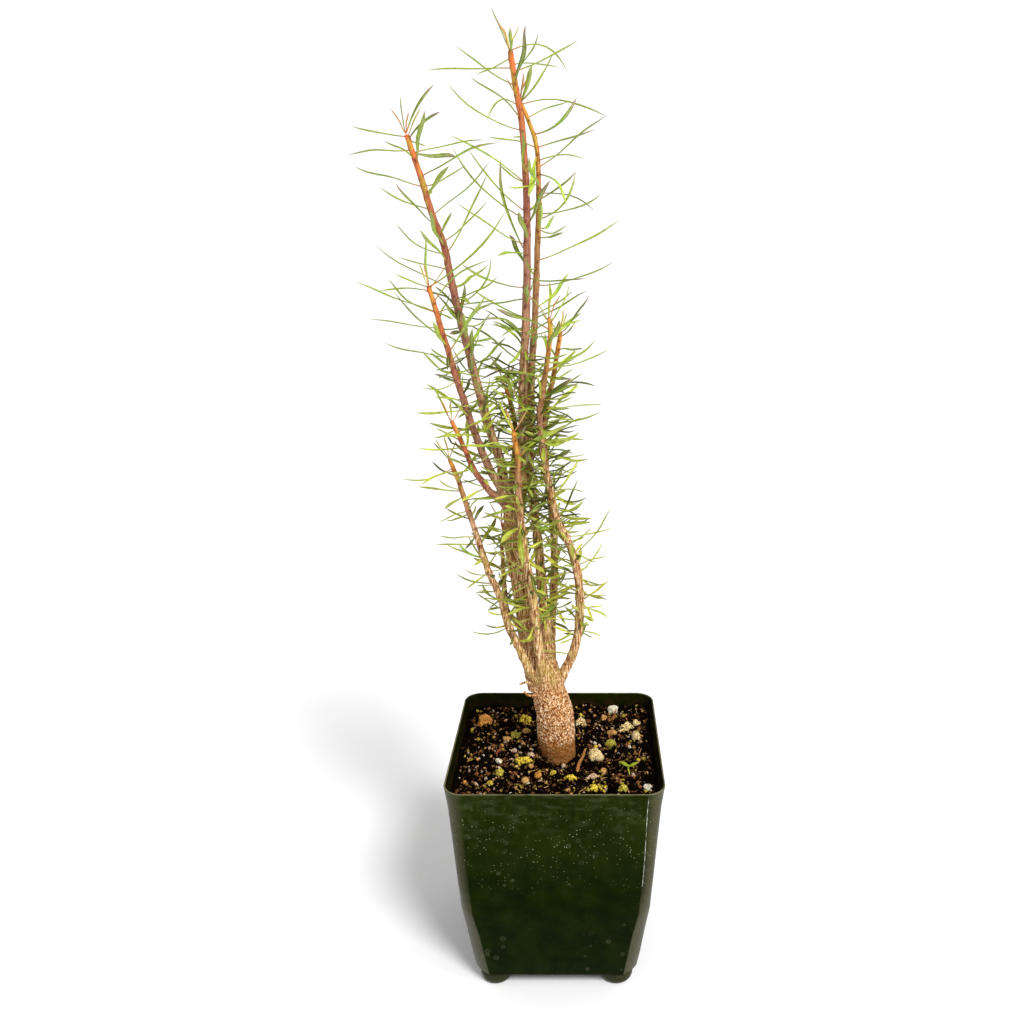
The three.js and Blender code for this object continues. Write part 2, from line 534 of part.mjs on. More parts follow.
// The leaves that the rule gives a stem: a turn of the golden angle from one to the next, from
// short and level at the foot to long at the tip. Among the seen leaves of a traced stem it gives
// only those that point to the front or the back, and on the others none beside a seen leaf.
function ruledLeaves(stem, number) {
  const draw = draws(LEAF_SEED + 97 * number);
  const [low, high] = [stem.bare, stem.line.at(-1)[2]];
  const seenLow = Math.min(...stem.seen.map(([z]) => z), high) - 2;
  const rows = [];
  for (let k = 0; low + k * LEAF_SPACING < high - 1; k++) {
    const z = low + (k + 0.5 * draw()) * LEAF_SPACING;
    const part = (z - low) / (high - low);
    const turn = (number * 61 + k * GOLDEN_TURN) % 360;
    const rise = -8 + 40 * draw() + 8 * part;
    const curl = -25 + 65 * draw();
    const length = THREE.MathUtils.lerp(stem.leaves[0], stem.leaves[1], part) * (0.8 + 0.35 * draw());
    const width = 1.35 + 0.65 * draw();
    const beside = stem.traced
      ? z > seenLow && Math.abs(Math.cos(rad(turn))) > SIDEWAYS
      : stem.seen.some(([at, way]) => (
        Math.abs(z - at) < SEEN_HEIGHT && Math.cos(rad(turn - way)) > SEEN_COSINE));
    if (z < high && !beside) rows.push([z, turn, rise, length, curl, width]);
  }
  return rows;
}

// Young leaves stand up round each tip.
function youngLeaves(stem, number) {
  const top = stem.line.at(-1)[2];
  return [0, 1, 2].map((k) => [top - 0.6 * k, number * 40 + 120 * k, 66 - 8 * k, 7 + 2 * k, -10, 1.2]);
}

// Every leaf of every stem: first the seen ones, then the others, each bent clear.
function placeLeaves(stems) {
  const bars = stems.map(({ points, radii }) => {
    const parts = [];
    for (let i = 0; i + 8 <= SAMPLES; i += 8) parts.push({ a: points[i], b: points[i + 8], reach: radii[i] });
    return parts;
  });
  const collars = stems.map(({ collar, line, radius }) => (
    [...collar, line[0]].map((place) => [...place, radius[0] * COLLAR_SWELL])));
  const trunk = [TRUNK.slice(3), LIMB, ...TWIGS, ...collars].flatMap((rows) => (
    rows.slice(1).map((row, i) => ({ a: point(rows[i]), b: point(row), reach: rows[i][3] }))));
  const placed = stems.map(() => []);
  const rounds = [(stem) => stem.seen, youngLeaves, ruledLeaves];
  for (const round of rounds) {
    stems.forEach((stem, number) => {
      const others = [
        ...trunk,
        ...bars.filter((_, i) => i !== number).flat(),
        ...placed.filter((_, i) => i !== number).flat(2),
      ];
      for (const [z, turn, rise, length, curl, width] of round(stem, number)) {
        const root = pointAt(stem.points, z);
        for (const [turnBy, riseBy, scale] of BENDS) {
          const shape = { turn: turn + turnBy, rise: rise + riseBy, length: length * scale, curl };
          const leaf = leafLine(root, shape);
          const parts = stretches(leaf, width);
          const touches = (p) => others.some((q) => between(p, q) <= p.reach + q.reach + CLEAR_GAP);
          if (!parts.some(touches)) {
            stem.leafLines.push({ ...leaf, width });
            placed[number].push(parts);
            break;
          }
        }
      }
    });
  }
}

// A three-sided blade: flat above, with a keel below that grows out of the stem.
function blade({ width, ...leaf }) {
  const side = new THREE.Vector3(-Math.sin(rad(leaf.turn)), Math.cos(rad(leaf.turn)), 0);
  return loft(stationsOf(leaf).map(([t, share]) => {
    const middle = leafPoint(leaf, t);
    if (share === 0) return [middle];
    const along = leaf.bend.clone().sub(leaf.root).multiplyScalar(1 - t)
      .add(leaf.tip.clone().sub(leaf.bend).multiplyScalar(t)).normalize();
    const up = new THREE.Vector3().crossVectors(along, side);
    const half = (share * width) / 2;
    return [
      middle.clone().addScaledVector(side, half),
      middle.clone().addScaledVector(side, -half),
      middle.clone().addScaledVector(up, -LEAF_KEEL),
    ];
  }));
}

function makeStem(stem) {
  const steps = Math.max(LEAST_RINGS, Math.round((stem.line.at(-1)[2] - stem.line[0][2]) / RING_SPACING));
  const solids = [toSolid(bar(stem.line.map(point), stem.radius, STEM_SIDES, steps))];
  for (const leaf of stem.leafLines) solids.push(toSolid(blade(leaf)));
  return toMesh(wasm.Manifold.union(solids), stem.name, { color: stem.color, roughness: 0.6, metalness: 0 });
}

function makeTrunk() {
  const parts = [
    toSolid(bar(TRUNK.map(point), TRUNK.map((row) => row[3]), 12, 10)),
    toSolid(bar(LIMB.map(point), LIMB.map((row) => row[3]), 8, 9)),
  ];
  for (const twig of TWIGS) parts.push(toSolid(bar(twig.map(point), twig.map((row) => row[3]), 5, 2)));
  for (const stem of STEMS) {
    const foot = point(stem.line[0]);
    const along = point(stem.line[1]).sub(foot).normalize();
    const end = foot.clone().addScaledVector(along, -GAP);
    const straight = foot.addScaledVector(along, -GAP - COLLAR_STRAIGHT);
    const [thin] = stem.radius;
    const line = [...stem.collar.map(point), straight, end];
    parts.push(toSolid(bar(line, [thin * COLLAR_SWELL, thin * 1.1, thin], STEM_SIDES, 3)));
  }
  return toMesh(wasm.Manifold.union(parts), 'trunk', { color: 0xa98a68, roughness: 0.9, metalness: 0 });
}

function makeSeedling() {
  const { x, y, foot, top, radius, leaf } = SEEDLING;
  const solids = [toSolid(bar([point([x, y, foot]), point([x, y, top])], [radius, radius], 6, 1))];
  for (const turn of [150, 20]) {
    const line = leafLine(point([x, y, top - 0.6]), { turn, rise: 15, length: leaf, curl: -30 });
    solids.push(toSolid(blade({ ...line, width: 2.2 })));
  }
  return toMesh(wasm.Manifold.union(solids), 'seedling', { color: 0x9fb04a, roughness: 0.6, metalness: 0 });
}

const stems = STEMS.map((stem) => ({ ...stem, ...traceStem(stem), leafLines: [] }));
placeLeaves(stems);

const plant = new THREE.Group();
plant.add(makePot(), makeSoil(), makeTrunk(), ...stems.map(makeStem), makeSeedling());

export default plant;
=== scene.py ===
"""A young sweet tabaiba, Euphorbia balsamifera, in a deep square nursery pot.

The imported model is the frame. Each of its nodes is replaced by finer pieces that keep its form: the pot with
its posts and feet, the peat with its crumbs and stones, the corky trunk, and for each stem its wood and its
leaves. All lengths are in millimetres until a mesh is made, and +Z is up.
"""

import logging
import math
from collections.abc import Mapping, Sequence
from dataclasses import dataclass, field
from enum import Enum
from typing import Any

import bpy
import numpy as np
from numpy.typing import NDArray
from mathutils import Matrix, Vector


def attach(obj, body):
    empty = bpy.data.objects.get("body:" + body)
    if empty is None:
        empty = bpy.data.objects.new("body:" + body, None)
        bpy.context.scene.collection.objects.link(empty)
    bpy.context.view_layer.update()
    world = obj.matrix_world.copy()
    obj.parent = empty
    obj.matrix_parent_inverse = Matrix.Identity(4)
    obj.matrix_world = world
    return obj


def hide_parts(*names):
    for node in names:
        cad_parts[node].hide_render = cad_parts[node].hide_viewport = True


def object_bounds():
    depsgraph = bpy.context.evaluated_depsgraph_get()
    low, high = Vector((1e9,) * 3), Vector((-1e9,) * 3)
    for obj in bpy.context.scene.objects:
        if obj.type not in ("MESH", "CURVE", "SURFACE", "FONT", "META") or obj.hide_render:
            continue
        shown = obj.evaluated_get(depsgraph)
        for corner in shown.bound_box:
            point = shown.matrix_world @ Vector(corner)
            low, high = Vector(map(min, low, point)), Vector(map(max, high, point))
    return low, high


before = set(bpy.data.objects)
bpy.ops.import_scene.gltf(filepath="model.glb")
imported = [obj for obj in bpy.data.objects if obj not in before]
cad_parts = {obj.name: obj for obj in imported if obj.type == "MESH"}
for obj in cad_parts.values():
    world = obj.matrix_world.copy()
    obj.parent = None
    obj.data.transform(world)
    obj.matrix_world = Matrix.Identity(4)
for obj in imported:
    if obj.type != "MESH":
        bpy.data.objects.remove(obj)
CAD_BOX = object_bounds()

logger = logging.getLogger("tabaiba")

Array = NDArray[np.float64]
Faces = list[tuple[int, ...]]
Point = tuple[float, float, float]
Color = tuple[float, float, float]
Run = tuple[tuple[float, float, float, float], ...]
LeafRow = tuple[float, float, float, float, float, float]

METRES = 0.001
ROOT = "root"
GOLDEN_TURN = 137.5

# Large odd factors that spread and fold the numbers of cells, and the bits that are kept
SPREAD = (374761393, 668265263, 1440662683, 974634777)
FOLD = 1274126177
WORD = 0xFFFFFFFF

# How far a grain's dome reaches, in cells, and how near its poles a lump's rows end, in radians
GRAIN_REACH = 0.75
POLE = 0.06

# The crease angle in degrees at which no edge stays sharp, and the least that a number is divided by
FLAT = 180.0
TINY = 1e-9


class Slot(Enum):
    """The material slots of the record."""

    POT = "pot"
    SOIL = "soil"
    BARK = "bark"
    PLANT = "plant"
    LEAF = "leaf"


class Tone(Enum):
    """The colour of a stem's young skin."""

    RED = "red"
    AMBER = "amber"


# Noise and paths, worked out as whole arrays


def points_of(x: Array, y: Array, z: Array) -> Array:
    """Points from their coordinates, spread to one shape."""
    return np.stack(np.broadcast_arrays(x, y, z), axis=-1)


def once_round(count: int) -> Array:
    """Angles that go once round."""
    return np.linspace(0, 2 * np.pi, count, endpoint=False)


def even(shape: int | tuple[int, ...], **values: float) -> dict[str, Array]:
    """Traits that have the same value everywhere."""
    return {name: np.full(shape, float(value)) for name, value in values.items()}


def lattice(cells: Array, seed: int) -> Array:
    """Gives each whole-numbered cell of space its own number from 0 to 1.

    The three indices are multiplied by large odd numbers, added, and their bits are folded over twice.

    Args:
        cells: Cell indices, with x, y and z in the last axis.
        seed: Picks one of many unlike fields.

    Returns:
        One number for each cell.
    """
    x, y, z = np.moveaxis(cells.astype(np.int64), -1, 0)
    mixed = (x * SPREAD[0] + y * SPREAD[1] + z * SPREAD[2] + seed * SPREAD[3]) & WORD
    mixed = ((mixed ^ (mixed >> 13)) * FOLD) & WORD
    return ((mixed ^ (mixed >> 16)) & 0xFFFFFF) / float(0x1000000)


def waves(points: Array, size: float, seed: int) -> Array:
    """Smooth noise from -1 to 1.

    The numbers at the eight corners of each cell are blended, with the fade 3t2 - 2t3 along each axis.

    Args:
        points: Places in millimetres.
        size: Width of a cell in millimetres.
        seed: Picks one of many unlike fields.

    Returns:
        One value for each place.
    """
    scaled = points / size
    base = np.floor(scaled)
    fade = (scaled - base) ** 2 * (3 - 2 * (scaled - base))
    total = np.zeros(points.shape[:-1])
    for corner in np.ndindex(2, 2, 2):
        share = np.prod(np.where(np.array(corner) == 1, fade, 1 - fade), axis=-1)
        total += share * lattice(base + np.array(corner), seed)
    return total * 2 - 1


def layered(points: Array, size: float, seed: int, layers: int = 3) -> Array:
    """Smooth noise in layers, each half as wide and half as high as the one before."""
    return sum(waves(points, size / 2**k, seed + 31 * k) / 2**k for k in range(layers))


def grains(points: Array, size: float, seed: int) -> tuple[Array, Array]:
    """Rounded grains that fill space: one seed point stands in each cell, and the nearest one owns a place.

    Args:
        points: Places in millimetres.
        size: Width of a cell in millimetres.
        seed: Picks one of many unlike fields.

    Returns:
        The height of the grain's dome, 1 at its middle and 0 from three quarters of a cell away, and the
        grain's own number from 0 to 1.
    """
    scaled = points / size
    base = np.floor(scaled)
    nearest = np.full(points.shape[:-1], 9.0)
    owner = np.zeros(points.shape[:-1])
    for offset in np.ndindex(3, 3, 3):
        cell = base + np.array(offset) - 1
        seat = cell + np.stack([lattice(cell, seed + axis) for axis in range(3)], axis=-1)
        away = np.linalg.norm(seat - scaled, axis=-1)
        closer = away < nearest
        nearest = np.where(closer, away, nearest)
        owner = np.where(closer, lattice(cell, seed + 3), owner)
    return np.clip(1 - (nearest / GRAIN_REACH) ** 2, 0, 1), owner


def smooth_line(line: Sequence[Point], shares: Array) -> Array:
    """Points on a uniform Catmull-Rom curve through the line's points.

    Each stretch is the cubic that leaves and meets its ends with half the chord of their neighbours. Beyond
    either end the line goes on by its last chord.

    Args:
        line: The points that the curve goes through.
        shares: Places along it, from 0 at its start to 1 at its end.

    Returns:
        One point for each share.
    """
    given = np.asarray(line, dtype=float)
    padded = np.vstack([2 * given[0] - given[1], given, 2 * given[-1] - given[-2]])
    place = np.asarray(shares) * (len(given) - 1)
    at = np.minimum(np.floor(place).astype(int), len(given) - 2)
    t = (place - at)[:, None]
    before, start, end, after = (padded[at + k] for k in range(4))
    leave, meet = (end - before) / 2, (after - start) / 2
    return (
        start + leave * t + (3 * (end - start) - 2 * leave - meet) * t**2
        + (2 * (start - end) + leave + meet) * t**3
    )


def unit(vectors: Array) -> Array:
    """The vectors with length 1."""
    return vectors / np.maximum(np.linalg.norm(vectors, axis=-1, keepdims=True), TINY)


def tube_rings(path: Array, radii: Array, sides: int) -> Array:
    """The rings of a tube: a circle at each point of the path, square to it.

    The circle's first direction is +X, made square to the path, and the second is square to both.

    Args:
        path: Points along the middle, one a row.
        radii: The tube's radius at each point.
        sides: Points in a ring.

    Returns:
        An array of rings by sides by 3.
    """
    along = unit(np.gradient(path, axis=0))
    across = unit(np.array([1.0, 0, 0]) - along * along[:, :1])
    aside = np.cross(along, across)
    turn = once_round(sides)[None, :, None]
    out = across[:, None] * np.cos(turn) + aside[:, None] * np.sin(turn)
    return path[:, None] + radii[:, None, None] * out


def tube_through(line: Run, sides: int, rows: int) -> Array:
    """The rings of a smooth tube through a line whose fourth value is the radius."""
    given = np.array(line, dtype=float)
    share = np.linspace(0, 1, rows)
    radii = np.interp(share, np.linspace(0, 1, len(given)), given[:, 3])
    return tube_rings(smooth_line(given[:, :3], share), radii, sides)


def grid_faces(rows: int, columns: int, count: int = 1, capped: bool = True) -> Faces:
    """Four-cornered faces between the rows of a skin that closes on itself sideways.

    Args:
        rows: Rows of points.
        columns: Points in a row.
        count: How many such skins follow each other in the list of points.
        capped: Whether the first and last rows are closed with one face each.

    Returns:
        The faces, facing out where the rows run counter-clockwise as seen from the last one.
    """
    row, column = np.meshgrid(np.arange(rows - 1), np.arange(columns), indexing="ij")
    beside = (column + 1) % columns
    low, high = row * columns, (row + 1) * columns
    quads = np.stack([low + column, low + beside, high + beside, high + column], axis=-1).reshape(-1, 4)
    starts = (np.arange(count) * rows * columns)[:, None, None]
    faces = list(map(tuple, (quads + starts).reshape(-1, 4).tolist()))
    if capped:
        first = np.arange(columns)[::-1]
        last = (rows - 1) * columns + np.arange(columns)
        ends = np.stack([first, last]) + starts
        faces += list(map(tuple, ends.reshape(-1, columns).tolist()))
    return faces


def turned_at_random(count: int, rng: np.random.Generator) -> Array:
    """Random rotations, from random unit quaternions, as an array of 3 by 3 matrices."""
    w, x, y, z = unit(rng.normal(size=(count, 4))).T
    rows = [
        [1 - 2 * (y * y + z * z), 2 * (x * y - z * w), 2 * (x * z + y * w)],
        [2 * (x * y + z * w), 1 - 2 * (x * x + z * z), 2 * (y * z - x * w)],
        [2 * (x * z - y * w), 2 * (y * z + x * w), 1 - 2 * (x * x + y * y)],
    ]
    return np.moveaxis(np.array(rows), -1, 0)


def lumps(
    places: Array, sizes: Array, rows: int, columns: int, rough: float, seed: int
) -> tuple[Array, Faces]:
    """Rough stones or crumbs: spheres of latitude rows, swollen by noise, scaled and turned at random.

    A point at latitude a and longitude b is (cos a cos b, cos a sin b, sin a) times 1 plus the noise there.

    Args:
        places: The middle of each lump, one a row.
        sizes: The half widths of each along its own three axes.
        rows: Rows of latitude, with the poles drawn as very small rings.
        columns: Points in a row.
        rough: How far the noise swells it, as a share of its radius.
        seed: Seed of the noise and the turns.

    Returns:
        The points, an array of lumps by rows by columns by 3, and the faces of them all.
    """
    rng = np.random.default_rng(seed)
    latitude = np.linspace(POLE - np.pi / 2, np.pi / 2 - POLE, rows)[:, None]
    longitude = once_round(columns)[None, :]
    level = np.cos(latitude)
    out = points_of(level * np.cos(longitude), level * np.sin(longitude), np.sin(latitude))
    apart = rng.uniform(0, 500, (len(places), 1, 1, 3))
    swell = 1 + rough * layered(out[None] + apart, 0.9, seed)
    shaped = out[None] * swell[..., None] * sizes[:, None, None, :]
    turned = np.einsum("nij,nrcj->nrci", turned_at_random(len(places), rng), shaped)
    return turned + places[:, None, None, :], grid_faces(rows, columns, len(places))


# Meshes


def linked(name: str, points: Array, faces: Faces) -> bpy.types.Object:
    """A mesh object from points in millimetres and faces, in the scene."""
    mesh = bpy.data.meshes.new(name)
    mesh.from_pydata((points.reshape(-1, 3) * METRES).tolist(), [], faces)
    piece = bpy.data.objects.new(name, mesh)
    bpy.context.scene.collection.objects.link(piece)
    return piece


def baked(piece: bpy.types.Object) -> bpy.types.Object:
    """Turns the piece's modifiers into its mesh."""
    view = bpy.context.evaluated_depsgraph_get()
    mesh = bpy.data.meshes.new_from_object(piece.evaluated_get(view), depsgraph=view)
    piece.modifiers.clear()
    piece.data = mesh
    return piece


def dress(
    piece: bpy.types.Object,
    finish: "Finish",
    node: str,
    traits: Mapping[str, Array],
    crease: float = FLAT,
) -> bpy.types.Object:
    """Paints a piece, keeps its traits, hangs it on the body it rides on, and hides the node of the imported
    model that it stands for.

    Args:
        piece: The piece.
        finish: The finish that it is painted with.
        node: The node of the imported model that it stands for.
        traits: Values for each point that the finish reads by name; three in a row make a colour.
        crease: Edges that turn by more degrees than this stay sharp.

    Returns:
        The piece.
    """
    mesh = piece.data
    count = len(mesh.vertices)
    for trait, values in traits.items():
        if np.size(values) == 3 * count:
            layer = mesh.attributes.new(trait, "FLOAT_COLOR", "POINT")
            rgba = np.column_stack([values.reshape(-1, 3), np.ones(count)])
            layer.data.foreach_set("color", rgba.ravel().astype(np.float32))
        else:
            layer = mesh.attributes.new(trait, "FLOAT", "POINT")
            layer.data.foreach_set("value", np.ravel(values).astype(np.float32))
    mesh.polygons.foreach_set("use_smooth", np.ones(len(mesh.polygons), dtype=bool))
    if crease < FLAT:
        mesh.set_sharp_from_angle(angle=math.radians(crease))
    mesh.update()
    mesh.materials.clear()
    mesh.materials.append(finish.material())
    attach(piece, ROOT)
    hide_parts(node)
    logger.info("%s: %d faces", piece.name, len(mesh.polygons))
    return piece


# Finishes


@dataclass
class Field:
    """A number or colour that changes over a surface: one output of a node, with arithmetic."""

    wiring: "Wiring"
    socket: bpy.types.NodeSocket

    def _math(self, operation: str, *terms: "Field | float") -> "Field":
        """Adds a Math node.

        Args:
            operation: The node's operation.
            *terms: Its inputs in order.

        Returns:
            The result.
        """
        return self.wiring.add("ShaderNodeMath", {"operation": operation}, dict(enumerate(terms)))

    def __add__(self, other: "Field | float") -> "Field":
        """This plus the other."""
        return self._math("ADD", self, other)

    __radd__ = __add__

    def __sub__(self, other: "Field | float") -> "Field":
        """This less the other."""
        return self._math("SUBTRACT", self, other)

    def __rsub__(self, other: float) -> "Field":
        """The other less this."""
        return self._math("SUBTRACT", other, self)

    def __mul__(self, other: "Field | float") -> "Field":
        """This times the other."""
        return self._math("MULTIPLY", self, other)

    __rmul__ = __mul__

    def __abs__(self) -> "Field":
        """Its distance from 0."""
        return self._math("ABSOLUTE", self)

    def step(self, low: float, high: float) -> "Field":
        """A smooth step that is 0 below low and 1 above high. With low above high it falls.

        Args:
            low: Where the step begins.
            high: Where it ends.

        Returns:
            The step, from 0 to 1.
        """
        sockets = {"Value": self, "From Min": low, "From Max": high}
        return self.wiring.add("ShaderNodeMapRange", {"interpolation_type": "SMOOTHSTEP"}, sockets)


class Wiring:
    """The nodes of a material or a world in the making."""

    def __init__(self, owner: bpy.types.ID) -> None:
        """Gives the owner its nodes."""
        owner.use_nodes = True
        self.tree = owner.node_tree

    def add(
        self,
        kind: str,
        settings: Mapping[str, Any] | None = None,
        sockets: Mapping[str | int, Any] | None = None,
        output: str | int = 0,
    ) -> Field:
        """Adds a node: its type, then its settings, then its sockets.

        Args:
            kind: The node's type.
            settings: Its settings; stops are those of a ramp, each a place and a colour.
            sockets: Values or links of its inputs, by name or number.
            output: The output that is handed back.

        Returns:
            That output.
        """
        node = self.tree.nodes.new(kind)
        for key, setting in (settings or {}).items():
            if key == "stops":
                self._set_stops(node.color_ramp, setting)
            else:
                setattr(node, key, setting)
        for key, given in (sockets or {}).items():
            self.give(node.inputs[key], given)
        return Field(self, node.outputs[output])

    def give(self, socket: bpy.types.NodeSocket, given: Any) -> None:
        """Links a field to a socket, or sets a plain value on it."""
        source = given.socket if isinstance(given, Field) else given
        if isinstance(source, bpy.types.NodeSocket):
            self.tree.links.new(source, socket)
        elif isinstance(source, tuple) and len(source) == 3 and len(socket.default_value) == 4:
            socket.default_value = (*source, 1.0)
        else:
            socket.default_value = source

    @staticmethod
    def _set_stops(ramp: bpy.types.ColorRamp, stops: Sequence[tuple[float, Color]]) -> None:
        """Gives a ramp its stops."""
        while len(ramp.elements) < len(stops):
            ramp.elements.new(1.0)
        for element, (place, color) in zip(ramp.elements, stops, strict=True):
            element.position = place
            element.color = (*color, 1.0)


class Paint(Wiring):
    """A material in the making."""

    def __init__(self, name: str) -> None:
        """Starts a material with one Principled shader.

        Args:
            name: The material's name.
        """
        self.material = bpy.data.materials.new(name)
        super().__init__(self.material)
        self.shader = next(node for node in self.tree.nodes if node.type == "BSDF_PRINCIPLED")
        self.place = self.add("ShaderNodeTexCoord", output="Object")

    def noise(self, size: float, detail: float = 3.0, stretch: Point = (1, 1, 1)) -> Field:
        """Noise from 0 to 1 on the object's coordinates.

        Args:
            size: Width of its features in millimetres.
            detail: How many finer layers it has.
            stretch: How much longer the features are along each axis.

        Returns:
            The noise.
        """
        sockets = {"Vector": self._stretched(stretch), "Scale": 1 / (size * METRES), "Detail": detail}
        return self.add("ShaderNodeTexNoise", sockets=sockets)

    def _stretched(self, stretch: Point) -> Field:
        """The object's coordinates, drawn out along the axes."""
        if stretch == (1, 1, 1):
            return self.place
        scale = tuple(1 / s for s in stretch)
        return self.add("ShaderNodeMapping", sockets={"Vector": self.place, "Scale": scale})

    def spots(self, size: float, output: str = "Distance", stretch: Point = (1, 1, 1)) -> Field:
        """Distance to the nearest of scattered points, in spot widths, or the colour of the nearest one.

        Args:
            size: Mean distance of the points in millimetres.
            output: Distance or Color.
            stretch: How much wider the spots are along each axis.

        Returns:
            The field.
        """
        sockets = {"Vector": self._stretched(stretch), "Scale": 1 / (size * METRES)}
        return self.add("ShaderNodeTexVoronoi", sockets=sockets, output=output)

    def lot(self, size: float, channel: int) -> Field:
        """A number from 0 to 1 that each spot of a size draws, one for each of three channels."""
        return self.add("ShaderNodeSeparateColor", sockets={0: self.spots(size, "Color")}, output=channel)

    def old_wood(self) -> tuple[Field, Field]:
        """Old stem skin: tan under pale and dark stripes that run up it, olive in places.

        Returns:
            Its colour, and the stripes' height from 0 to 1.
        """
        stripe = self.noise(0.46, 5.0, (1, 1, 9)) * 0.7 + self.noise(0.3, 3.0, (1, 1, 2.5)) * 0.3
        color = self.ramp(stripe, [
            (0.39, (0.10, 0.030, 0.008)), (0.47, (0.37, 0.160, 0.056)), (0.54, (0.62, 0.375, 0.165)),
            (0.62, (0.98, 0.780, 0.510)),
        ])
        olive = self.noise(3.0, 3.0, (1, 1, 2.4)).step(0.44, 0.62)
        return self.blend(olive * 0.42, color, (0.42, 0.33, 0.070)), stripe

    def height(self) -> Field:
        """Height in millimetres."""
        return self.add("ShaderNodeSeparateXYZ", sockets={0: self.place}, output="Z") * (1 / METRES)

    def trait(self, name: str, output: str = "Fac") -> Field:
        """A value or colour that the mesh keeps for each point."""
        return self.add("ShaderNodeAttribute", {"attribute_name": name}, output=output)

    def ramp(self, amount: Field, stops: Sequence[tuple[float, Color]]) -> Field:
        """A run of colours along a number from 0 to 1."""
        return self.add("ShaderNodeValToRGB", {"stops": stops}, {0: amount})

    def blend(self, share: Field | float, first: Field | Color, second: Field | Color) -> Field:
        """The first colour where the share is 0 and the second where it is 1.

        Args:
            share: How much of the second colour.
            first: A colour.
            second: Another.

        Returns:
            The blended colour.
        """
        return self.add("ShaderNodeMix", {"data_type": "RGBA"}, {0: share, 6: first, 7: second}, output=2)

    def tint(self, share: Field | float, first: Field, second: Field | Color) -> Field:
        """The first colour multiplied by the second, by a share."""
        settings = {"data_type": "RGBA", "blend_type": "MULTIPLY"}
        return self.add("ShaderNodeMix", settings, {0: share, 6: first, 7: second}, output=2)

    def bump(self, height: Field, depth: float) -> Field:
        """A normal from a height from 0 to 1.

        Args:
            height: The height.
            depth: How deep it is in millimetres.

        Returns:
            The normal.
        """
        return self.add("ShaderNodeBump", sockets={"Height": height, "Distance": depth * METRES})

    def finish(self, sockets: Mapping[str, Any]) -> bpy.types.Material:
        """Sets the shader's sockets and hands the material back."""
        for key, given in sockets.items():
            self.give(self.shader.inputs[key], given)
        return self.material


@dataclass(frozen=True)
class Finish:
    """What every finish has: a name, and one material that is made when first asked for."""

    name: str

    def material(self) -> bpy.types.Material:
        """The material of that name, made once."""
        return bpy.data.materials.get(self.name) or self.make(Paint(self.name))

    def make(self, paint: Paint) -> bpy.types.Material:
        """Adds the nodes."""
        raise NotImplementedError


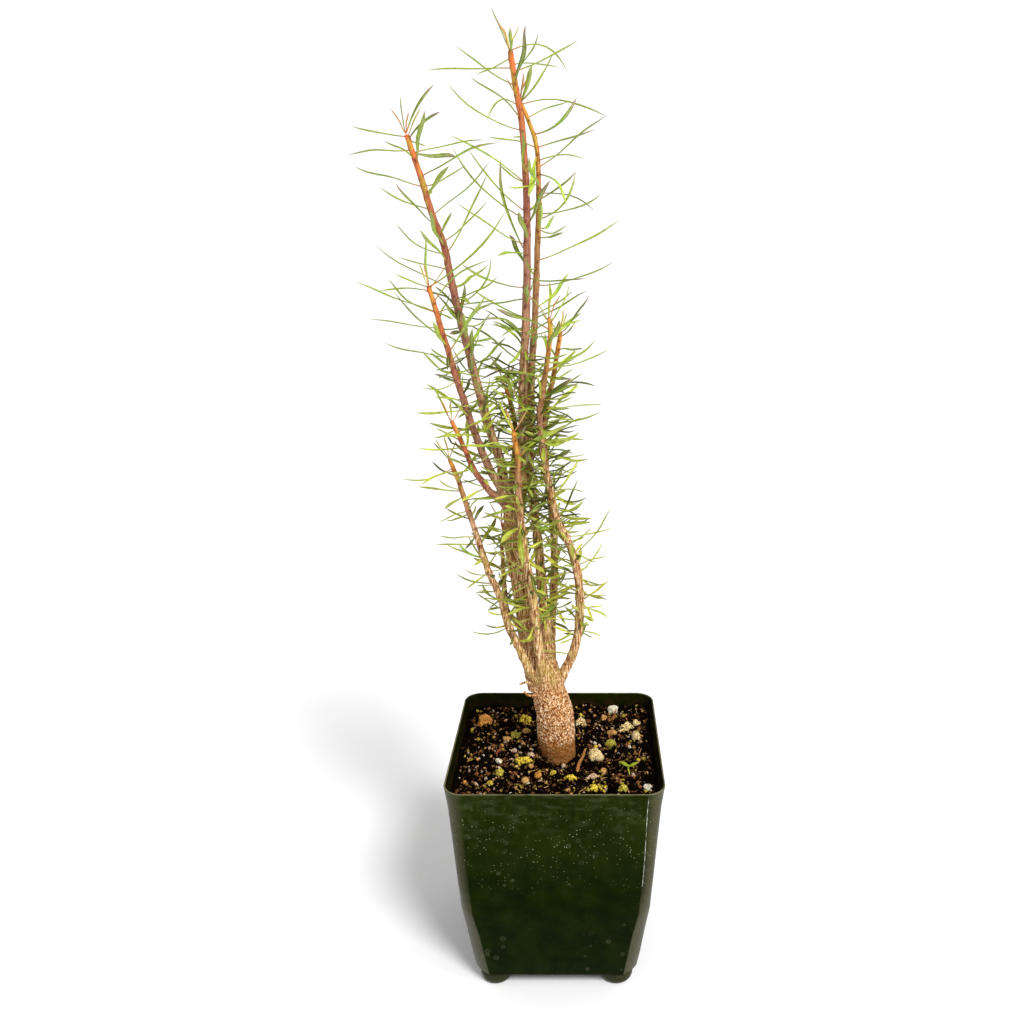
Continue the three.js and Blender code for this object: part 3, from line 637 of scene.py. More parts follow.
@dataclass(frozen=True)
class PotPlastic(Finish):
    """Dark green moulded plastic with a pale rim edge, water spots and soil film inside; painted corner sheen,
    edge highlight and inner shade.
    """

    name: str = "pot_plastic"
    deep: Color = (0.0050, 0.0105, 0.0001)
    dim: Color = (0.0004, 0.0030, 0.0001)
    dusty: Color = (0.020, 0.028, 0.003)
    inner_shade: Color = (0.0016, 0.0022, 0.0002)
    corner_sheen: Color = (0.085, 0.078, 0.040)
    hazy: Color = (0.070, 0.074, 0.036)
    scuffed: Color = (0.85, 0.86, 0.80)
    rim_tan: Color = (0.17, 0.15, 0.08)
    spot: Color = (0.34, 0.36, 0.22)
    earth: Color = (0.017, 0.008, 0.003)
    rim: float = 82.0
    fleck: float = 1.15
    drop: float = 4.4

    def make(self, paint: Paint) -> bpy.types.Material:
        """Cloudy green, mottled below and dusty above, under specks and faint rings, pale at the rim's top
        edge, with painted sheen, highlight line and shade.
        """
        z = paint.height()
        inside = paint.trait("inside")
        corner = paint.trait("corner")
        cloud = paint.noise(14.0, 4.0)
        fine = paint.noise(0.9, 3.0)
        dust = cloud.step(0.3, 0.7) * 0.45 + paint.noise(2.2, 5.0, (1, 1, 2.2)).step(0.45, 0.75) * 0.55
        base = paint.blend(dust * z.step(30.0, 84.0), self.deep, self.dusty)
        mottle = paint.noise(7.0, 9.0)
        base = paint.blend(mottle.step(0.74, 0.30) * z.step(72.0, 34.0) * 0.85, base, self.dim)
        # Painted sheen: the rounded corners, and the feet by half, are lightened to a warm grey as if they
        # caught the light.
        base = paint.blend(corner * (0.2 + fine * 1.1) * (1 - inside) * 0.7, base, self.corner_sheen)
        band = z.step(36.0, 60.0) * (1.15 - z.step(66.0, self.rim))
        speck = paint.spots(self.fleck).step(0.19, 0.09) * paint.lot(self.fleck, 0).step(0.32, 0.50)
        speck = speck * (band * 0.93 + 0.07)
        wide = paint.spots(self.drop)
        drop = (wide.step(0.13, 0.18) * 0.6 + 0.4) * wide.step(0.27, 0.21)
        drop = drop * paint.lot(self.drop, 1).step(0.55, 0.7)
        ring = drop * (1.2 - z.step(60.0, 80.0)) * 0.06
        marks = (speck * 0.75 + ring) * (1 - inside) * paint.noise(9.0).step(0.35, 0.6)
        haze = paint.noise(2.6, 8.0, (2.4, 2.4, 1)).step(0.48, 0.66) * z.step(56.0, 80.0) * (1 - inside)
        base = paint.blend(haze * 0.28, base, self.hazy)
        # Painted shade: the inside of the pot is darkened, as in the shadow of its walls.
        base = paint.blend(inside * 0.6, base, self.inner_shade)
        color = paint.blend(marks, base, self.spot)
        film = inside * z.step(81.5, 77.5) * paint.noise(2.4, 5.0).step(0.34, 0.6)
        color = paint.blend(film, color, self.earth)
        # Painted highlight: a thin near-white line down the edge where the front meets the right corner, as if
        # it caught the light.
        scuff = (paint.trait("scuff") + paint.noise(2.2, 3.0) * 0.3).step(1.06, 1.12)
        color = paint.blend(scuff, color, self.scuffed)
        # The top edge of the rim is painted pale tan in patches.
        edge = z.step(self.rim - 0.3, self.rim - 0.08) * paint.noise(3.0).step(0.1, 0.6)
        color = paint.blend(edge * 0.9, color, self.rim_tan)
        return paint.finish({
            "Base Color": color,
            "Roughness": 0.26 + cloud * 0.14 + marks * 0.35 + film * 0.4,
            "Specular IOR Level": 0.035,
            "Specular Tint": (0.8, 1.0, 0.25),
            "Coat Weight": corner * (1 - inside) * 0.15,
            "Coat Roughness": 0.22,
            "Normal": paint.bump(fine * 0.6 + cloud, 0.05),
        })


@dataclass(frozen=True)
class Peat(Finish):
    """Damp dark peat, with painted shade in its hollows."""

    name: str = "peat"
    hollow_shade: Color = (0.0004, 0.0002, 0.0001)
    crumb: Color = (0.0048, 0.0019, 0.0006)
    pale: Color = (0.16, 0.075, 0.028)

    def make(self, paint: Paint) -> bpy.types.Material:
        """The crumb's height and its own number pick the brown."""
        height = paint.trait("height")
        own = paint.trait("own")
        fine = paint.noise(0.5, 4.0)
        # Painted shade: the peat is darkest in the hollows between the crumbs and lighter on their tops.
        color = paint.blend(height * (0.2 + fine), self.hollow_shade, self.crumb)
        color = paint.blend(own.step(0.86, 0.98) * fine.step(0.42, 0.62), color, self.pale)
        return paint.finish({
            "Base Color": color,
            "Roughness": 0.9 - fine * 0.3,
            "Specular IOR Level": 0.02,
            "Normal": paint.bump(fine, 0.12),
        })


@dataclass(frozen=True)
class Mineral(Finish):
    """Stones, perlite, prills, bark bits and algae: each point's own colour, finely mottled."""

    name: str = "mineral"
    rough: float = 0.8
    grain: float = 0.35

    def make(self, paint: Paint) -> bpy.types.Material:
        """The kept colour, darkened by fine noise."""
        fine = paint.noise(self.grain, 4.0)
        shade = paint.ramp(fine, [
            (0.38, (0.16, 0.10, 0.05)), (0.49, (0.8, 0.74, 0.60)), (0.57, (1.05, 1.05, 1.05)),
        ])
        return paint.finish({
            "Base Color": paint.tint(1.0, paint.trait("tint", "Color"), shade),
            "Roughness": self.rough,
            "Specular IOR Level": 0.2,
            "Normal": paint.bump(fine, 0.12),
        })


@dataclass(frozen=True)
class Bark(Finish):
    """Granular corky bark: pale grains and winding ridges over a brown ground.

    At the soil it is dark and a little green, and higher up it turns to the striped skin of the old stems.
    """

    name: str = "corky_bark"
    ground: Color = (0.20, 0.055, 0.008)
    grain: Color = (0.68, 0.335, 0.120)
    light: Color = (1.00, 0.760, 0.500)
    band: Color = (0.240, 0.076, 0.004)
    algae: Color = (0.16, 0.17, 0.01)

    def make(self, paint: Paint) -> bpy.types.Material:
        """The grain's height and own number pick the tan, and the height above the soil the band."""
        own = paint.trait("own")
        z = paint.height()
        fine = paint.noise(0.32, 4.0)
        cell = paint.spots(0.6, stretch=(1, 1, 1.35))
        worm = abs(paint.noise(0.95, 1.0, (1, 1, 1.5)) - 0.5).step(0.075, 0.02)
        crest = paint.trait("height") * 0.3 + cell.step(0.62, 0.12) * 0.35 + worm * 0.4
        color = paint.blend(crest.step(0.1, 0.5), self.ground, self.grain)
        color = paint.blend((own * 0.25 + crest * 0.8 + fine * 0.3).step(0.55, 0.95), color, self.light)
        old, stripe = paint.old_wood()
        color = paint.blend((z + paint.noise(5.0) * 16.0).step(108.0, 120.0), color, old)
        low = (z + paint.noise(4.0) * 5.0).step(90.0, 84.0)
        color = paint.blend(low * 0.8, color, self.band)
        color = paint.blend(low * paint.noise(2.2).step(0.62, 0.7) * 0.6, color, self.algae)
        shade = paint.ramp(fine, [(0.3, (0.5, 0.40, 0.3)), (0.56, (1.0, 1.0, 1.0))])
        return paint.finish({
            "Base Color": paint.tint(0.7, color, shade),
            "Roughness": 0.9 - low * 0.25,
            "Specular IOR Level": 0.12,
            "Normal": paint.bump(crest + stripe, 0.22),
        })


@dataclass(frozen=True)
class StemSkin(Finish):
    """Stem skin: orange at the tip, red-brown with green patches, then tan stripes, with dark leaf scars."""

    name: str = "stem_skin"
    tone: Tone = Tone.RED
    scar: Color = (0.10, 0.012, 0.006)
    fresh: Color = (0.44, 0.400, 0.040)
    places: tuple[float, ...] = (0, 0.07, 0.20, 0.34, 0.50, 0.68)
    runs: tuple[tuple[Color, ...], ...] = (
        ((0.74, 0.170, 0.035), (0.58, 0.150, 0.040), (0.40, 0.120, 0.050), (0.32, 0.112, 0.066),
         (0.35, 0.165, 0.105), (0.44, 0.240, 0.140)),
        ((0.72, 0.300, 0.040), (0.60, 0.230, 0.032), (0.46, 0.200, 0.038), (0.38, 0.190, 0.060),
         (0.38, 0.200, 0.090), (0.44, 0.240, 0.120)),
    )

    def make(self, paint: Paint) -> bpy.types.Material:
        """A run of colours from the tip down, striped lengthwise and dotted with scars."""
        aged = paint.trait("aged")
        run = self.runs[list(Tone).index(self.tone)]
        color = paint.ramp(aged, list(zip(self.places, run, strict=True)))
        patch = paint.noise(1.8, 3.0, (1, 1, 3.5)).step(0.52, 0.62) * aged.step(0.45, 0.15)
        color = paint.blend(patch * 0.5, color, self.fresh)
        old, stripe = paint.old_wood()
        shade = paint.ramp(stripe, [
            (0.38, (0.42, 0.34, 0.30)), (0.5, (0.95, 0.9, 0.86)), (0.62, (1.35, 1.4, 1.45)),
        ])
        color = paint.tint(aged.step(0.0, 0.2) * 0.8, color, shade)
        color = paint.blend(aged.step(0.52, 1.0), color, old)
        color = paint.blend(paint.trait("scar") * 0.9, color, self.scar)
        return paint.finish({
            "Base Color": color,
            "Roughness": 0.45 + aged * 0.35,
            "Specular IOR Level": 0.25,
            "Normal": paint.bump(stripe, 0.16),
        })


@dataclass(frozen=True)
class LeafSkin(Finish):
    """Narrow leaves: green with a pale rib, greyer below, red at the root and dull purple at the tip; some
    filling leaves get painted shade.
    """

    name: str = "leaf_skin"
    green: Color = (0.130, 0.170, 0.006)
    bright: Color = (0.480, 0.620, 0.045)
    cool: Color = (0.260, 0.450, 0.040)
    deep: Color = (0.048, 0.062, 0.002)
    yellow: Color = (0.700, 0.570, 0.080)
    fresh: Color = (0.640, 0.520, 0.080)
    flush: Color = (0.660, 0.240, 0.090)
    under: Color = (0.400, 0.460, 0.190)
    rib: Color = (0.640, 0.700, 0.270)
    root: Color = (0.600, 0.130, 0.030)
    tip: Color = (0.340, 0.200, 0.190)

    def make(self, paint: Paint) -> bpy.types.Material:
        """The leaf's own number and age pick its green; its length and side do the rest."""
        along = paint.trait("along")
        own = paint.trait("own")
        aged = paint.trait("aged")
        across = paint.trait("under")
        color = paint.blend(own, self.green, self.bright)
        color = paint.blend(paint.noise(9.0, 1.0).step(0.50, 0.60) * 0.6, color, self.cool)
        color = paint.blend(aged * own, color, self.yellow)
        fresh = paint.blend(own.step(0.4, 0.6), self.fresh, self.flush)
        color = paint.blend(paint.trait("fresh"), color, fresh)
        color = paint.blend(across.step(0.5, 0.95) * 0.7, color, self.under)
        # Painted shade: filling leaves drawn at random are darkened, as if in the shadow of the bunch.
        color = paint.blend(paint.trait("deep"), color, self.deep)
        color = paint.blend(across.step(0.1, 0.03) * 0.5, color, self.rib)
        mottle = paint.noise(1.6, 3.0)
        shade = paint.ramp(mottle, [(0.32, (0.55, 0.60, 0.42)), (0.6, (1.0, 1.0, 1.0))])
        color = paint.tint(0.7, color, shade)
        color = paint.blend(along.step(0.20, 0.03) * 0.8, color, self.root)
        faded = along.step(0.60, 1.0) * (0.25 + own.step(0.55, 0.15) * 0.5) * (1 - aged * 1.2)
        color = paint.blend(faded, color, self.tip)
        return paint.finish({
            "Base Color": color,
            "Roughness": 0.45 + mottle * 0.15,
            "Specular IOR Level": 0.12,
            "Normal": paint.bump(mottle, 0.04),
        })


@dataclass(frozen=True)
class PaleFloor(Finish):
    """A plain pale floor."""

    name: str = "pale_floor"
    color: Color = (0.93, 0.93, 0.93)

    def make(self, paint: Paint) -> bpy.types.Material:
        """One plain colour."""
        return paint.finish({"Base Color": self.color, "Roughness": 0.9, "Specular IOR Level": 0.1})


# The plant's plan, in millimetres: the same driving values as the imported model's


@dataclass(frozen=True)
class StemPlan:
    """One leafy stem: where the trunk carries it, its own line, its girth and its leaves.

    A seen leaf is its height on the stem, its compass turn from +X towards +Y, its rise above level, its
    length from root to tip, its curl up, and its width. The young skin fades over a length from the tip. The
    filling leaves come last: first the low ones, given as seen ones are, and then one every spacing from one
    height to another.
    """

    name: str
    radius: tuple[float, float]
    tone: Tone
    fade: float
    filled: tuple[float, float, float]
    bare: float
    leaves: tuple[float, float]
    collar: tuple[Point, ...]
    line: tuple[Point, ...]
    seen: tuple[LeafRow, ...] = ()
    traced: bool = False
    low: tuple[LeafRow, ...] = ()


STEM_PLANS: tuple[StemPlan, ...] = (
    StemPlan(
        name="stem_tall_middle",
        radius=(1.75, 0.85),
        tone=Tone.RED,
        fade=138,
        filled=(166, 234, 0.68),
        bare=166,
        leaves=(17, 25),
        collar=((-14, -1, 148), (-13.4, 0.9, 157)),
        line=(
            (-12.8, 2.3, 164), (-12.3, 2.8, 170), (-11.3, 3, 181), (-10.8, 3, 199), (-10.5, 3, 215),
            (-9.4, 3, 232), (-8.6, 3, 252), (-8.4, 3, 275), (-9.4, 3, 296), (-11, 3, 306),
            (-12.8, 3, 318.5),
        ),
        seen=(
            (318, 170, 65, 14, 0, 0.9), (318, 355, -20, 19, -90, 1.1), (317, 275, 55, 8, 10, 1.5),
            (316, 215, -25, 14, 0, 1.6), (314, 25, 0, 16, -30, 1.1), (313, 170, 0, 28, -10, 1.5),
            (312, 15, 25, 23, 10, 1.3), (308, 195, 30, 21, 10, 1.9), (302, 160, -20, 12, -110, 1.6),
            (295, 160, 30, 30, 40, 1.2), (279, 165, 30, 30, -20, 1.2), (279, 225, 25, 13, 10, 1.6),
            (270, 145, 40, 32, 20, 1.2), (268, 155, 40, 36, 40, 1.5), (261, 260, 40, 14, -10, 2.2),
            (260, 195, 30, 26, 20, 1.3), (257, 140, 70, 32, 50, 1.5),
        ),
        traced=True,
    ),
    StemPlan(
        name="stem_tall_right",
        radius=(1.9, 0.6),
        tone=Tone.AMBER,
        fade=126,
        filled=(126, 218, 0.9),
        bare=130,
        leaves=(14, 25),
        collar=((-2, 0, 108), (-2.8, 0.9, 117)),
        line=(
            (-3.4, 1.4, 124), (-4.4, 2.4, 135.5), (-5.4, 3.8, 146), (-6.6, 5, 160), (-7.9, 6.2, 173.5),
            (-8.9, 6.9, 182), (-8.6, 7, 198), (-7.8, 7, 218), (-6.4, 7, 236), (-5.2, 7, 260),
            (-4.6, 6.5, 275), (-5.1, 6.5, 290), (-8, 6.5, 299), (-10.4, 6.5, 304),
        ),
        seen=(
            (303, 10, -7, 28, -45, 1.4), (303, 330, 70, 13, 0, 2.0), (299, 35, 20, 18, -10, 1.3),
            (294, 340, 35, 18, 60, 2.0), (290, 205, 10, 16, -20, 1.6), (290, 350, 15, 20, 0, 1.3),
            (288, 260, -45, 19, 0, 2.2), (286, 330, 0, 17, -40, 1.1), (284, 20, 35, 29, 0, 1.5),
            (282, 320, -40, 16, -70, 2.2), (279, 220, -5, 23, 10, 1.2), (276, 25, -15, 21, -50, 1.2),
            (274, 20, 35, 16, 20, 1.8), (270, 345, 15, 22, 40, 1.8), (268, 330, 45, 20, 70, 1.8),
            (265, 45, 5, 13, 60, 1.6), (264, 280, 40, 14, 0, 1.8), (255, 355, 25, 30, 20, 1.8),
            (247, 15, 15, 28, 30, 1.5),
        ),
        traced=True,
    ),
    StemPlan(
        name="stem_tall_left",
        radius=(1.65, 0.85),
        tone=Tone.RED,
        fade=118,
        filled=(188, 244, 1.0),
        bare=188,
        leaves=(18, 24),
        collar=((-15.4, -1, 170), (-16.5, -0.6, 176)),
        line=(
            (-17.4, 0, 180.6), (-18.7, 0.6, 188.5), (-20.6, 1, 194), (-22.8, 1.4, 201.5),
            (-25.8, 2, 213.5), (-29, 2, 227.5), (-32.4, 2, 243), (-35.4, 2, 259.5), (-38.9, 2, 269.5),
            (-41.6, 2, 279.5), (-44.2, 2, 288), (-46, 2, 294),
        ),
        seen=(
            (294, 180, 85, 11, 20, 1.0), (294, 350, 55, 17, -30, 1.9), (293, 170, 10, 19, 10, 1.1),
            (292, 320, 25, 17, -30, 1.8), (292, 55, -10, 8, 0, 1.2), (289, 190, -5, 20, -10, 1.2),
            (288, 10, 10, 24, -20, 1.2), (286, 220, 25, 12, -30, 1.5), (281, 345, 20, 28, -20, 1.6),
            (278, 165, 15, 25, 10, 1.2), (278, 40, 25, 17, 20, 1.5), (275, 315, 35, 15, -10, 2.2),
            (271, 155, 20, 21, 20, 1.3), (269, 35, 40, 27, 10, 1.2), (266, 205, 45, 18, 20, 1.7),
            (263, 300, 35, 12, 0, 1.8), (261, 20, 40, 20, 20, 1.8), (257, 345, 60, 29, 10, 2.1),
            (257, 165, 30, 20, 50, 1.1), (254, 225, 45, 15, 0, 1.6), (252, 150, 10, 22, 0, 1.1),
            (246, 190, 30, 28, 20, 1.4), (246, 30, 30, 15, 20, 1.5), (241, 340, 50, 20, 70, 1.9),
            (229, 275, 45, 14, 10, 1.8), (222, 280, 45, 17, -10, 1.9),
        ),
        traced=True,
    ),
    StemPlan(
        name="stem_left",
        radius=(1.4, 0.75),
        tone=Tone.RED,
        fade=92,
        filled=(170, 226, 2.4),
        bare=188,
        leaves=(16, 22),
        collar=((-15.6, -1.4, 170), (-17.2, -2.6, 176)),
        line=(
            (-19.4, -3.4, 181.4), (-21.3, -3.9, 184.8), (-23.2, -4.3, 189.5), (-25.1, -4.7, 195),
            (-27.6, -5.2, 202.5), (-29.8, -5.5, 210.5), (-32.1, -5.5, 218), (-34.3, -5.5, 226.5),
            (-36.4, -5.5, 234), (-38.4, -5.5, 241.8), (-40, -5.5, 247.5),
        ),
        seen=(
            (247, 340, 40, 36, 30, 1.9), (247, 275, 70, 16, 10, 1.0), (247, 150, 15, 14, 10, 1.1),
            (246, 200, 0, 16, -20, 1.3), (242, 325, 30, 28, -40, 1.4), (239, 175, 20, 28, 0, 1.5),
            (239, 210, 35, 19, 40, 1.7), (239, 20, 10, 21, -10, 1.4), (239, 50, -20, 9, -10, 1.2),
            (234, 165, 5, 26, 0, 1.2), (230, 195, 45, 22, 10, 2.0), (228, 255, 40, 14, 10, 2.0),
            (226, 335, 40, 26, 0, 1.9), (224, 190, 15, 22, 10, 1.4), (223, 25, 35, 19, 10, 1.6),
            (219, 220, 35, 15, 40, 1.7), (207, 170, -5, 18, 10, 1.4),
        ),
        traced=True,
    ),
    StemPlan(
        name="stem_left_short",
        radius=(1.15, 0.65),
        tone=Tone.RED,
        fade=60,
        filled=(180, 203, 2.4),
        bare=180,
        leaves=(14, 17),
        collar=((-15.3, -1.4, 166), (-16.2, -4.6, 172.4)),
        line=(
            (-19.2, -6.7, 176.6), (-21.8, -7.3, 179.4), (-24.2, -7.7, 183), (-26.8, -8, 187),
            (-30.4, -8, 196), (-32.7, -8, 201.5), (-34.3, -8, 204.3),
        ),
        seen=(
            (204, 150, 60, 13, 0, 1.4), (197, 170, 25, 10, -10, 1.3), (195, 190, 0, 15, 20, 1.4),
            (178, 200, -50, 25, -20, 1.8),
        ),
    ),
    StemPlan(
        name="stem_back_short",
        radius=(1.05, 0.65),
        tone=Tone.AMBER,
        fade=60,
        filled=(186, 212, 1.8),
        bare=188,
        leaves=(15, 19),
        collar=((-15.4, -0.8, 170), (-15.2, 1.8, 177.5)),
        line=(
            (-14.8, 4.2, 184.2), (-14, 5.8, 190), (-13.6, 6.8, 196.5), (-14.3, 7.6, 203),
            (-15.8, 8, 209), (-17.2, 8, 213.5),
        ),
    ),
    StemPlan(
        name="stem_front",
        radius=(1.85, 0.85),
        tone=Tone.AMBER,
        fade=34,
        filled=(128, 198, 1.2),
        bare=123,
        leaves=(12, 18),
        collar=((-4, -4.6, 107), (-5, -6.4, 113.6)),
        line=(
            (-5.3, -7, 118.5), (-6.5, -7.6, 127), (-7.2, -8, 136), (-8, -8.4, 144), (-9.4, -8.5, 152),
            (-10.8, -8.5, 162), (-11.4, -8.5, 170), (-12, -8.5, 180), (-12, -8.3, 190),
            (-13.3, -8, 200.5),
        ),
        seen=(
            (200, 165, 65, 12, 10, 1.5), (195, 195, 5, 19, 0, 2.0), (191, 220, -30, 10, -30, 2.3),
            (174, 200, -10, 14, -10, 2.2), (170, 275, -40, 19, 10, 2.2), (167, 225, -20, 10, -40, 2.4),
            (141, 190, 5, 18, 10, 1.6),
        ),
    ),
    StemPlan(
        name="stem_right",
        radius=(1.65, 0.75),
        tone=Tone.AMBER,
        fade=60,
        filled=(124, 214, 1.2),
        bare=120,
        leaves=(12, 21),
        low=((117, 220, 22, 16, -10, 1.3), (116, 226, -10, 11, 0, 1.2), (124, 205, 20, 6, -45, 1.7)),
        collar=((-0.5, -2.2, 103), (2.6, -2, 109.8)),
        line=(
            (4.7, -2, 114), (6.3, -2, 118), (7.7, -2, 123.5), (8.4, -2, 130), (8.8, -2, 138),
            (8.4, -2, 144.5), (7.6, -2, 149.5), (6, -2, 156), (3.4, -2, 162.5), (0.3, -2, 169.5),
            (-1.3, -2, 178), (-3.1, -2, 186), (-4.2, -2, 195), (-4.8, -2, 204), (-3.6, -2, 213),
            (-2, -2, 223), (-0.9, -2, 232.5), (-1.4, -2, 237),
        ),
        seen=(
            (236, 90, 70, 13, 0, 1.3), (235, 330, 60, 15, 20, 1.5), (207, 20, 0, 23, 0, 1.2),
            (201, 345, 15, 22, 20, 1.9), (178, 350, 0, 12, -50, 1.3), (176, 335, 55, 18, 20, 1.9),
            (168, 25, 60, 16, 20, 1.9), (167, 340, 5, 12, 10, 1.9), (162, 15, 5, 17, 20, 1.4),
            (154, 20, 50, 22, 10, 1.0), (148, 340, 55, 16, 30, 1.4), (146, 330, -5, 9, -20, 1.5),
            (140, 10, -5, 10, -10, 1.0), (135, 30, -5, 10, 20, 0.9), (131, 285, -10, 6, 10, 1.4),
            (127, 345, -15, 9, -20, 1.0),
        ),
    ),
    StemPlan(
        name="stem_back_right",
        radius=(1.5, 0.75),
        tone=Tone.AMBER,
        fade=60,
        filled=(128, 212, 1.2),
        bare=129,
        leaves=(13, 21),
        collar=((-2.5, 1.4, 110), (-2, 4, 119.5)),
        line=(
            (-1.7, 5.3, 127), (-1.1, 6, 135), (-0.6, 6.6, 147), (-0.7, 7, 158), (-1.2, 7.3, 166),
            (-2.2, 7.5, 176), (-3.4, 7.5, 185), (-4.1, 7.5, 197), (-2.6, 7.5, 207), (-0.6, 7.3, 215),
            (0.8, 7, 223), (2.3, 7, 231.5),
        ),
        seen=(
            (231, 20, 50, 16, 20, 1.5), (191, 25, -15, 12, -20, 1.5), (178, 10, 30, 13, -20, 1.5),
        ),
    ),
    StemPlan(
        name="stem_low_left",
        radius=(1.45, 0.7),
        tone=Tone.AMBER,
        fade=34,
        filled=(124, 188, 3.0),
        bare=120,
        leaves=(10, 17),
        low=((119, 335, -18, 8, 10, 1.3),),
        collar=((-5.4, -4, 105), (-9.4, -6.2, 112.8)),
        line=(
            (-11.7, -7, 118.6), (-13, -7, 122), (-15.3, -6.8, 127), (-17.1, -6.5, 132),
            (-18.4, -6.3, 138), (-20.7, -6, 144.5), (-23, -5.8, 150), (-25.2, -5.5, 157),
            (-27.6, -5.2, 165.5), (-30, -5, 173.5), (-32.6, -5, 182.5), (-35.5, -5, 190.5),
        ),
        seen=(
            (190, 190, 50, 8, 0, 1.2), (187, 170, -15, 19, 30, 1.2), (186, 195, -20, 12, -30, 1.4),
            (179, 160, 0, 17, 10, 1.2), (177, 210, -25, 8, -10, 1.4), (172, 190, -20, 11, -20, 1.3),
            (169, 145, 10, 12, 20, 1.6), (160, 165, -5, 17, 0, 1.3), (155, 195, 25, 14, 10, 1.5),
            (155, 230, -15, 5, 20, 1.6), (150, 205, -30, 10, 0, 1.7), (149, 150, 0, 11, 30, 1.5),
            (146, 195, 20, 14, 40, 1.5), (143, 160, -10, 9, 10, 1.1), (135, 210, 20, 7, 70, 1.3),
            (130, 185, -5, 14, 60, 1.3),
        ),
    ),
    StemPlan(
        name="stem_inner_left",
        radius=(1.1, 0.6),
        tone=Tone.RED,
        fade=14,
        filled=(130, 163, 2.2),
        bare=131,
        leaves=(11, 15),
        collar=((-9.4, -1, 117), (-11.8, 1.8, 122.4)),
        line=(
            (-14.4, 4.2, 127), (-16.4, 5.3, 128.6), (-18.4, 6.2, 132), (-18.9, 7.1, 138.5),
            (-19.2, 7.5, 148), (-19.4, 7.8, 156), (-18.6, 8, 160.5), (-19.4, 8, 164),
        ),
    ),
)


# Pot


@dataclass
class NurseryPot:
    """The moulded pot: a thin shell with a bare rim, round corners that turn to posts below, and feet."""

    finish: PotPlastic
    rim: float = 82.0
    wall: float = 0.9
    floor: float = 1.4
    rim_wall: float = 0.55
    profile: tuple[Point, ...] = (
        (0, 27.2, 3.6), (1.8, 29.6, 5.2), (8, 30.7, 5.4), (21, 32.4, 5.1), (31, 33.8, 4.4),
        (54, 35.4, 4.8), (74, 36.9, 5.9), (82, 38, 6.7),
    )
    corner_points: int = 15
    side_points: int = 14
    post_from: float = 42.0
    post_fade: float = 12.0
    post_flat: float = 0.62
    rim_round: float = 0.22
    scuff_from: float = 39.5
    scuff_fade: float = 3.0
    foot: tuple[tuple[float, float], ...] = (
        (0.05, -4.5), (3.4, -4.5), (4.3, -4.32), (5.05, -3.8), (5.6, -3.0), (5.88, -2.0), (6.0, -0.8),
        (6.0, 0.4), (5.6, 1.2), (0.05, 1.2),
    )
    foot_place: float = 22.4
    drain: tuple[tuple[float, float], ...] = ((4.0, -3.0), (4.0, 4.0))
    drain_place: float = 15.0

    def post(self, heights: Array) -> Array:
        """How far the corners have turned to posts at some heights, from 0 to 1."""
        return np.clip((self.post_from - heights) / self.post_fade, 0, 1)

    def rings(self, heights: Array, inset: Array, places: Array | None = None) -> Array:
        """Rounded squares at some heights.

        A corner is an arc of the profile's radius. Below the posts' height it is drawn towards its chord,
        which leaves a crisp edge on both sides of a nearly flat post. A side is straight.

        Args:
            heights: Where the profile is read, in millimetres.
            inset: What is taken off the profile's half width there.
            places: Where the rings stand, if not at those heights.

        Returns:
            An array of rings by points by 3.
        """
        zs, halves, corners = np.array(self.profile).T
        half = np.interp(heights, zs, halves) - inset
        corner = np.interp(heights, zs, corners) - inset * 0.5
        flat = self.post_flat * self.post(heights)[:, None, None]
        turn = np.linspace(0, np.pi / 2, self.corner_points)
        arc = np.stack([np.cos(turn), np.sin(turn)], axis=-1)
        share = np.linspace(0, 1, self.corner_points)[:, None]
        chord = (1 - share) * arc[0] + share * arc[-1]
        bent = arc * (1 - flat) + chord * flat
        middle = (half - corner)[:, None, None] * np.ones(2)
        corner_run = middle + corner[:, None, None] * bent
        along = np.linspace(0, 1, self.side_points + 1)[1:-1]
        start, end = corner_run[:, -1], np.stack([corner - half, half], axis=-1)
        side_run = start[:, None] * (1 - along)[None, :, None] + end[:, None] * along[None, :, None]
        quarter = np.concatenate([corner_run, side_run], axis=1)
        turns = np.array([[[1, 0], [0, 1]], [[0, -1], [1, 0]], [[-1, 0], [0, -1]], [[0, 1], [-1, 0]]])
        flat_ring = np.einsum("qij,rpj->rqpi", turns, quarter).reshape(len(heights), -1, 2)
        z = np.broadcast_to((heights if places is None else places)[:, None, None], (*flat_ring.shape[:2], 1))
        return np.concatenate([flat_ring, z], axis=-1)

    def shell(self) -> tuple[Array, dict[str, Array]]:
        """The skin from the middle of the underside, up outside, over the rim and down inside.

        Returns:
            The rings, and for each point whether it is inside, on a corner, or on the front edge that carries
            the painted highlight line.
        """
        outside = np.concatenate([
            [0.0, 0.0, 0.9, 1.7, 1.9], np.linspace(3.4, 34, 22), np.linspace(36, 81.4, 24)])
        outer = self.rings(outside, np.concatenate([[9.0, 0.3], np.zeros(len(outside) - 2)]))
        swing = np.linspace(0, np.pi, 9)
        over = self.rings(
            np.full(9, self.rim),
            self.rim_wall / 2 - self.rim_wall / 2 * np.cos(swing),
            self.rim - self.rim_round + self.rim_round * np.sin(swing),
        )
        inside = np.concatenate([
            [81.2, 80.2, 79.4], np.linspace(78, 12, 24), np.linspace(10, 2.4, 6), [self.floor, self.floor]])
        inset = np.interp(inside, [79, self.rim], [self.wall, self.rim_wall])
        inner = self.rings(inside, np.concatenate([inset[:-1], [9.0]]))
        rings = np.concatenate([outer, over, inner])
        within = np.concatenate([np.zeros(len(outer) + 5), np.ones(4 + len(inner))])
        share = np.linspace(0, 1, self.corner_points)
        post = self.post(rings[:, :1, 2])
        arc = (1 - post) * np.sin(np.pi * share) + post * np.clip(np.minimum(share, 1 - share) * 14, 0, 1)
        corner = np.tile(np.pad(arc, ((0, 0), (0, self.side_points - 1))), 4)
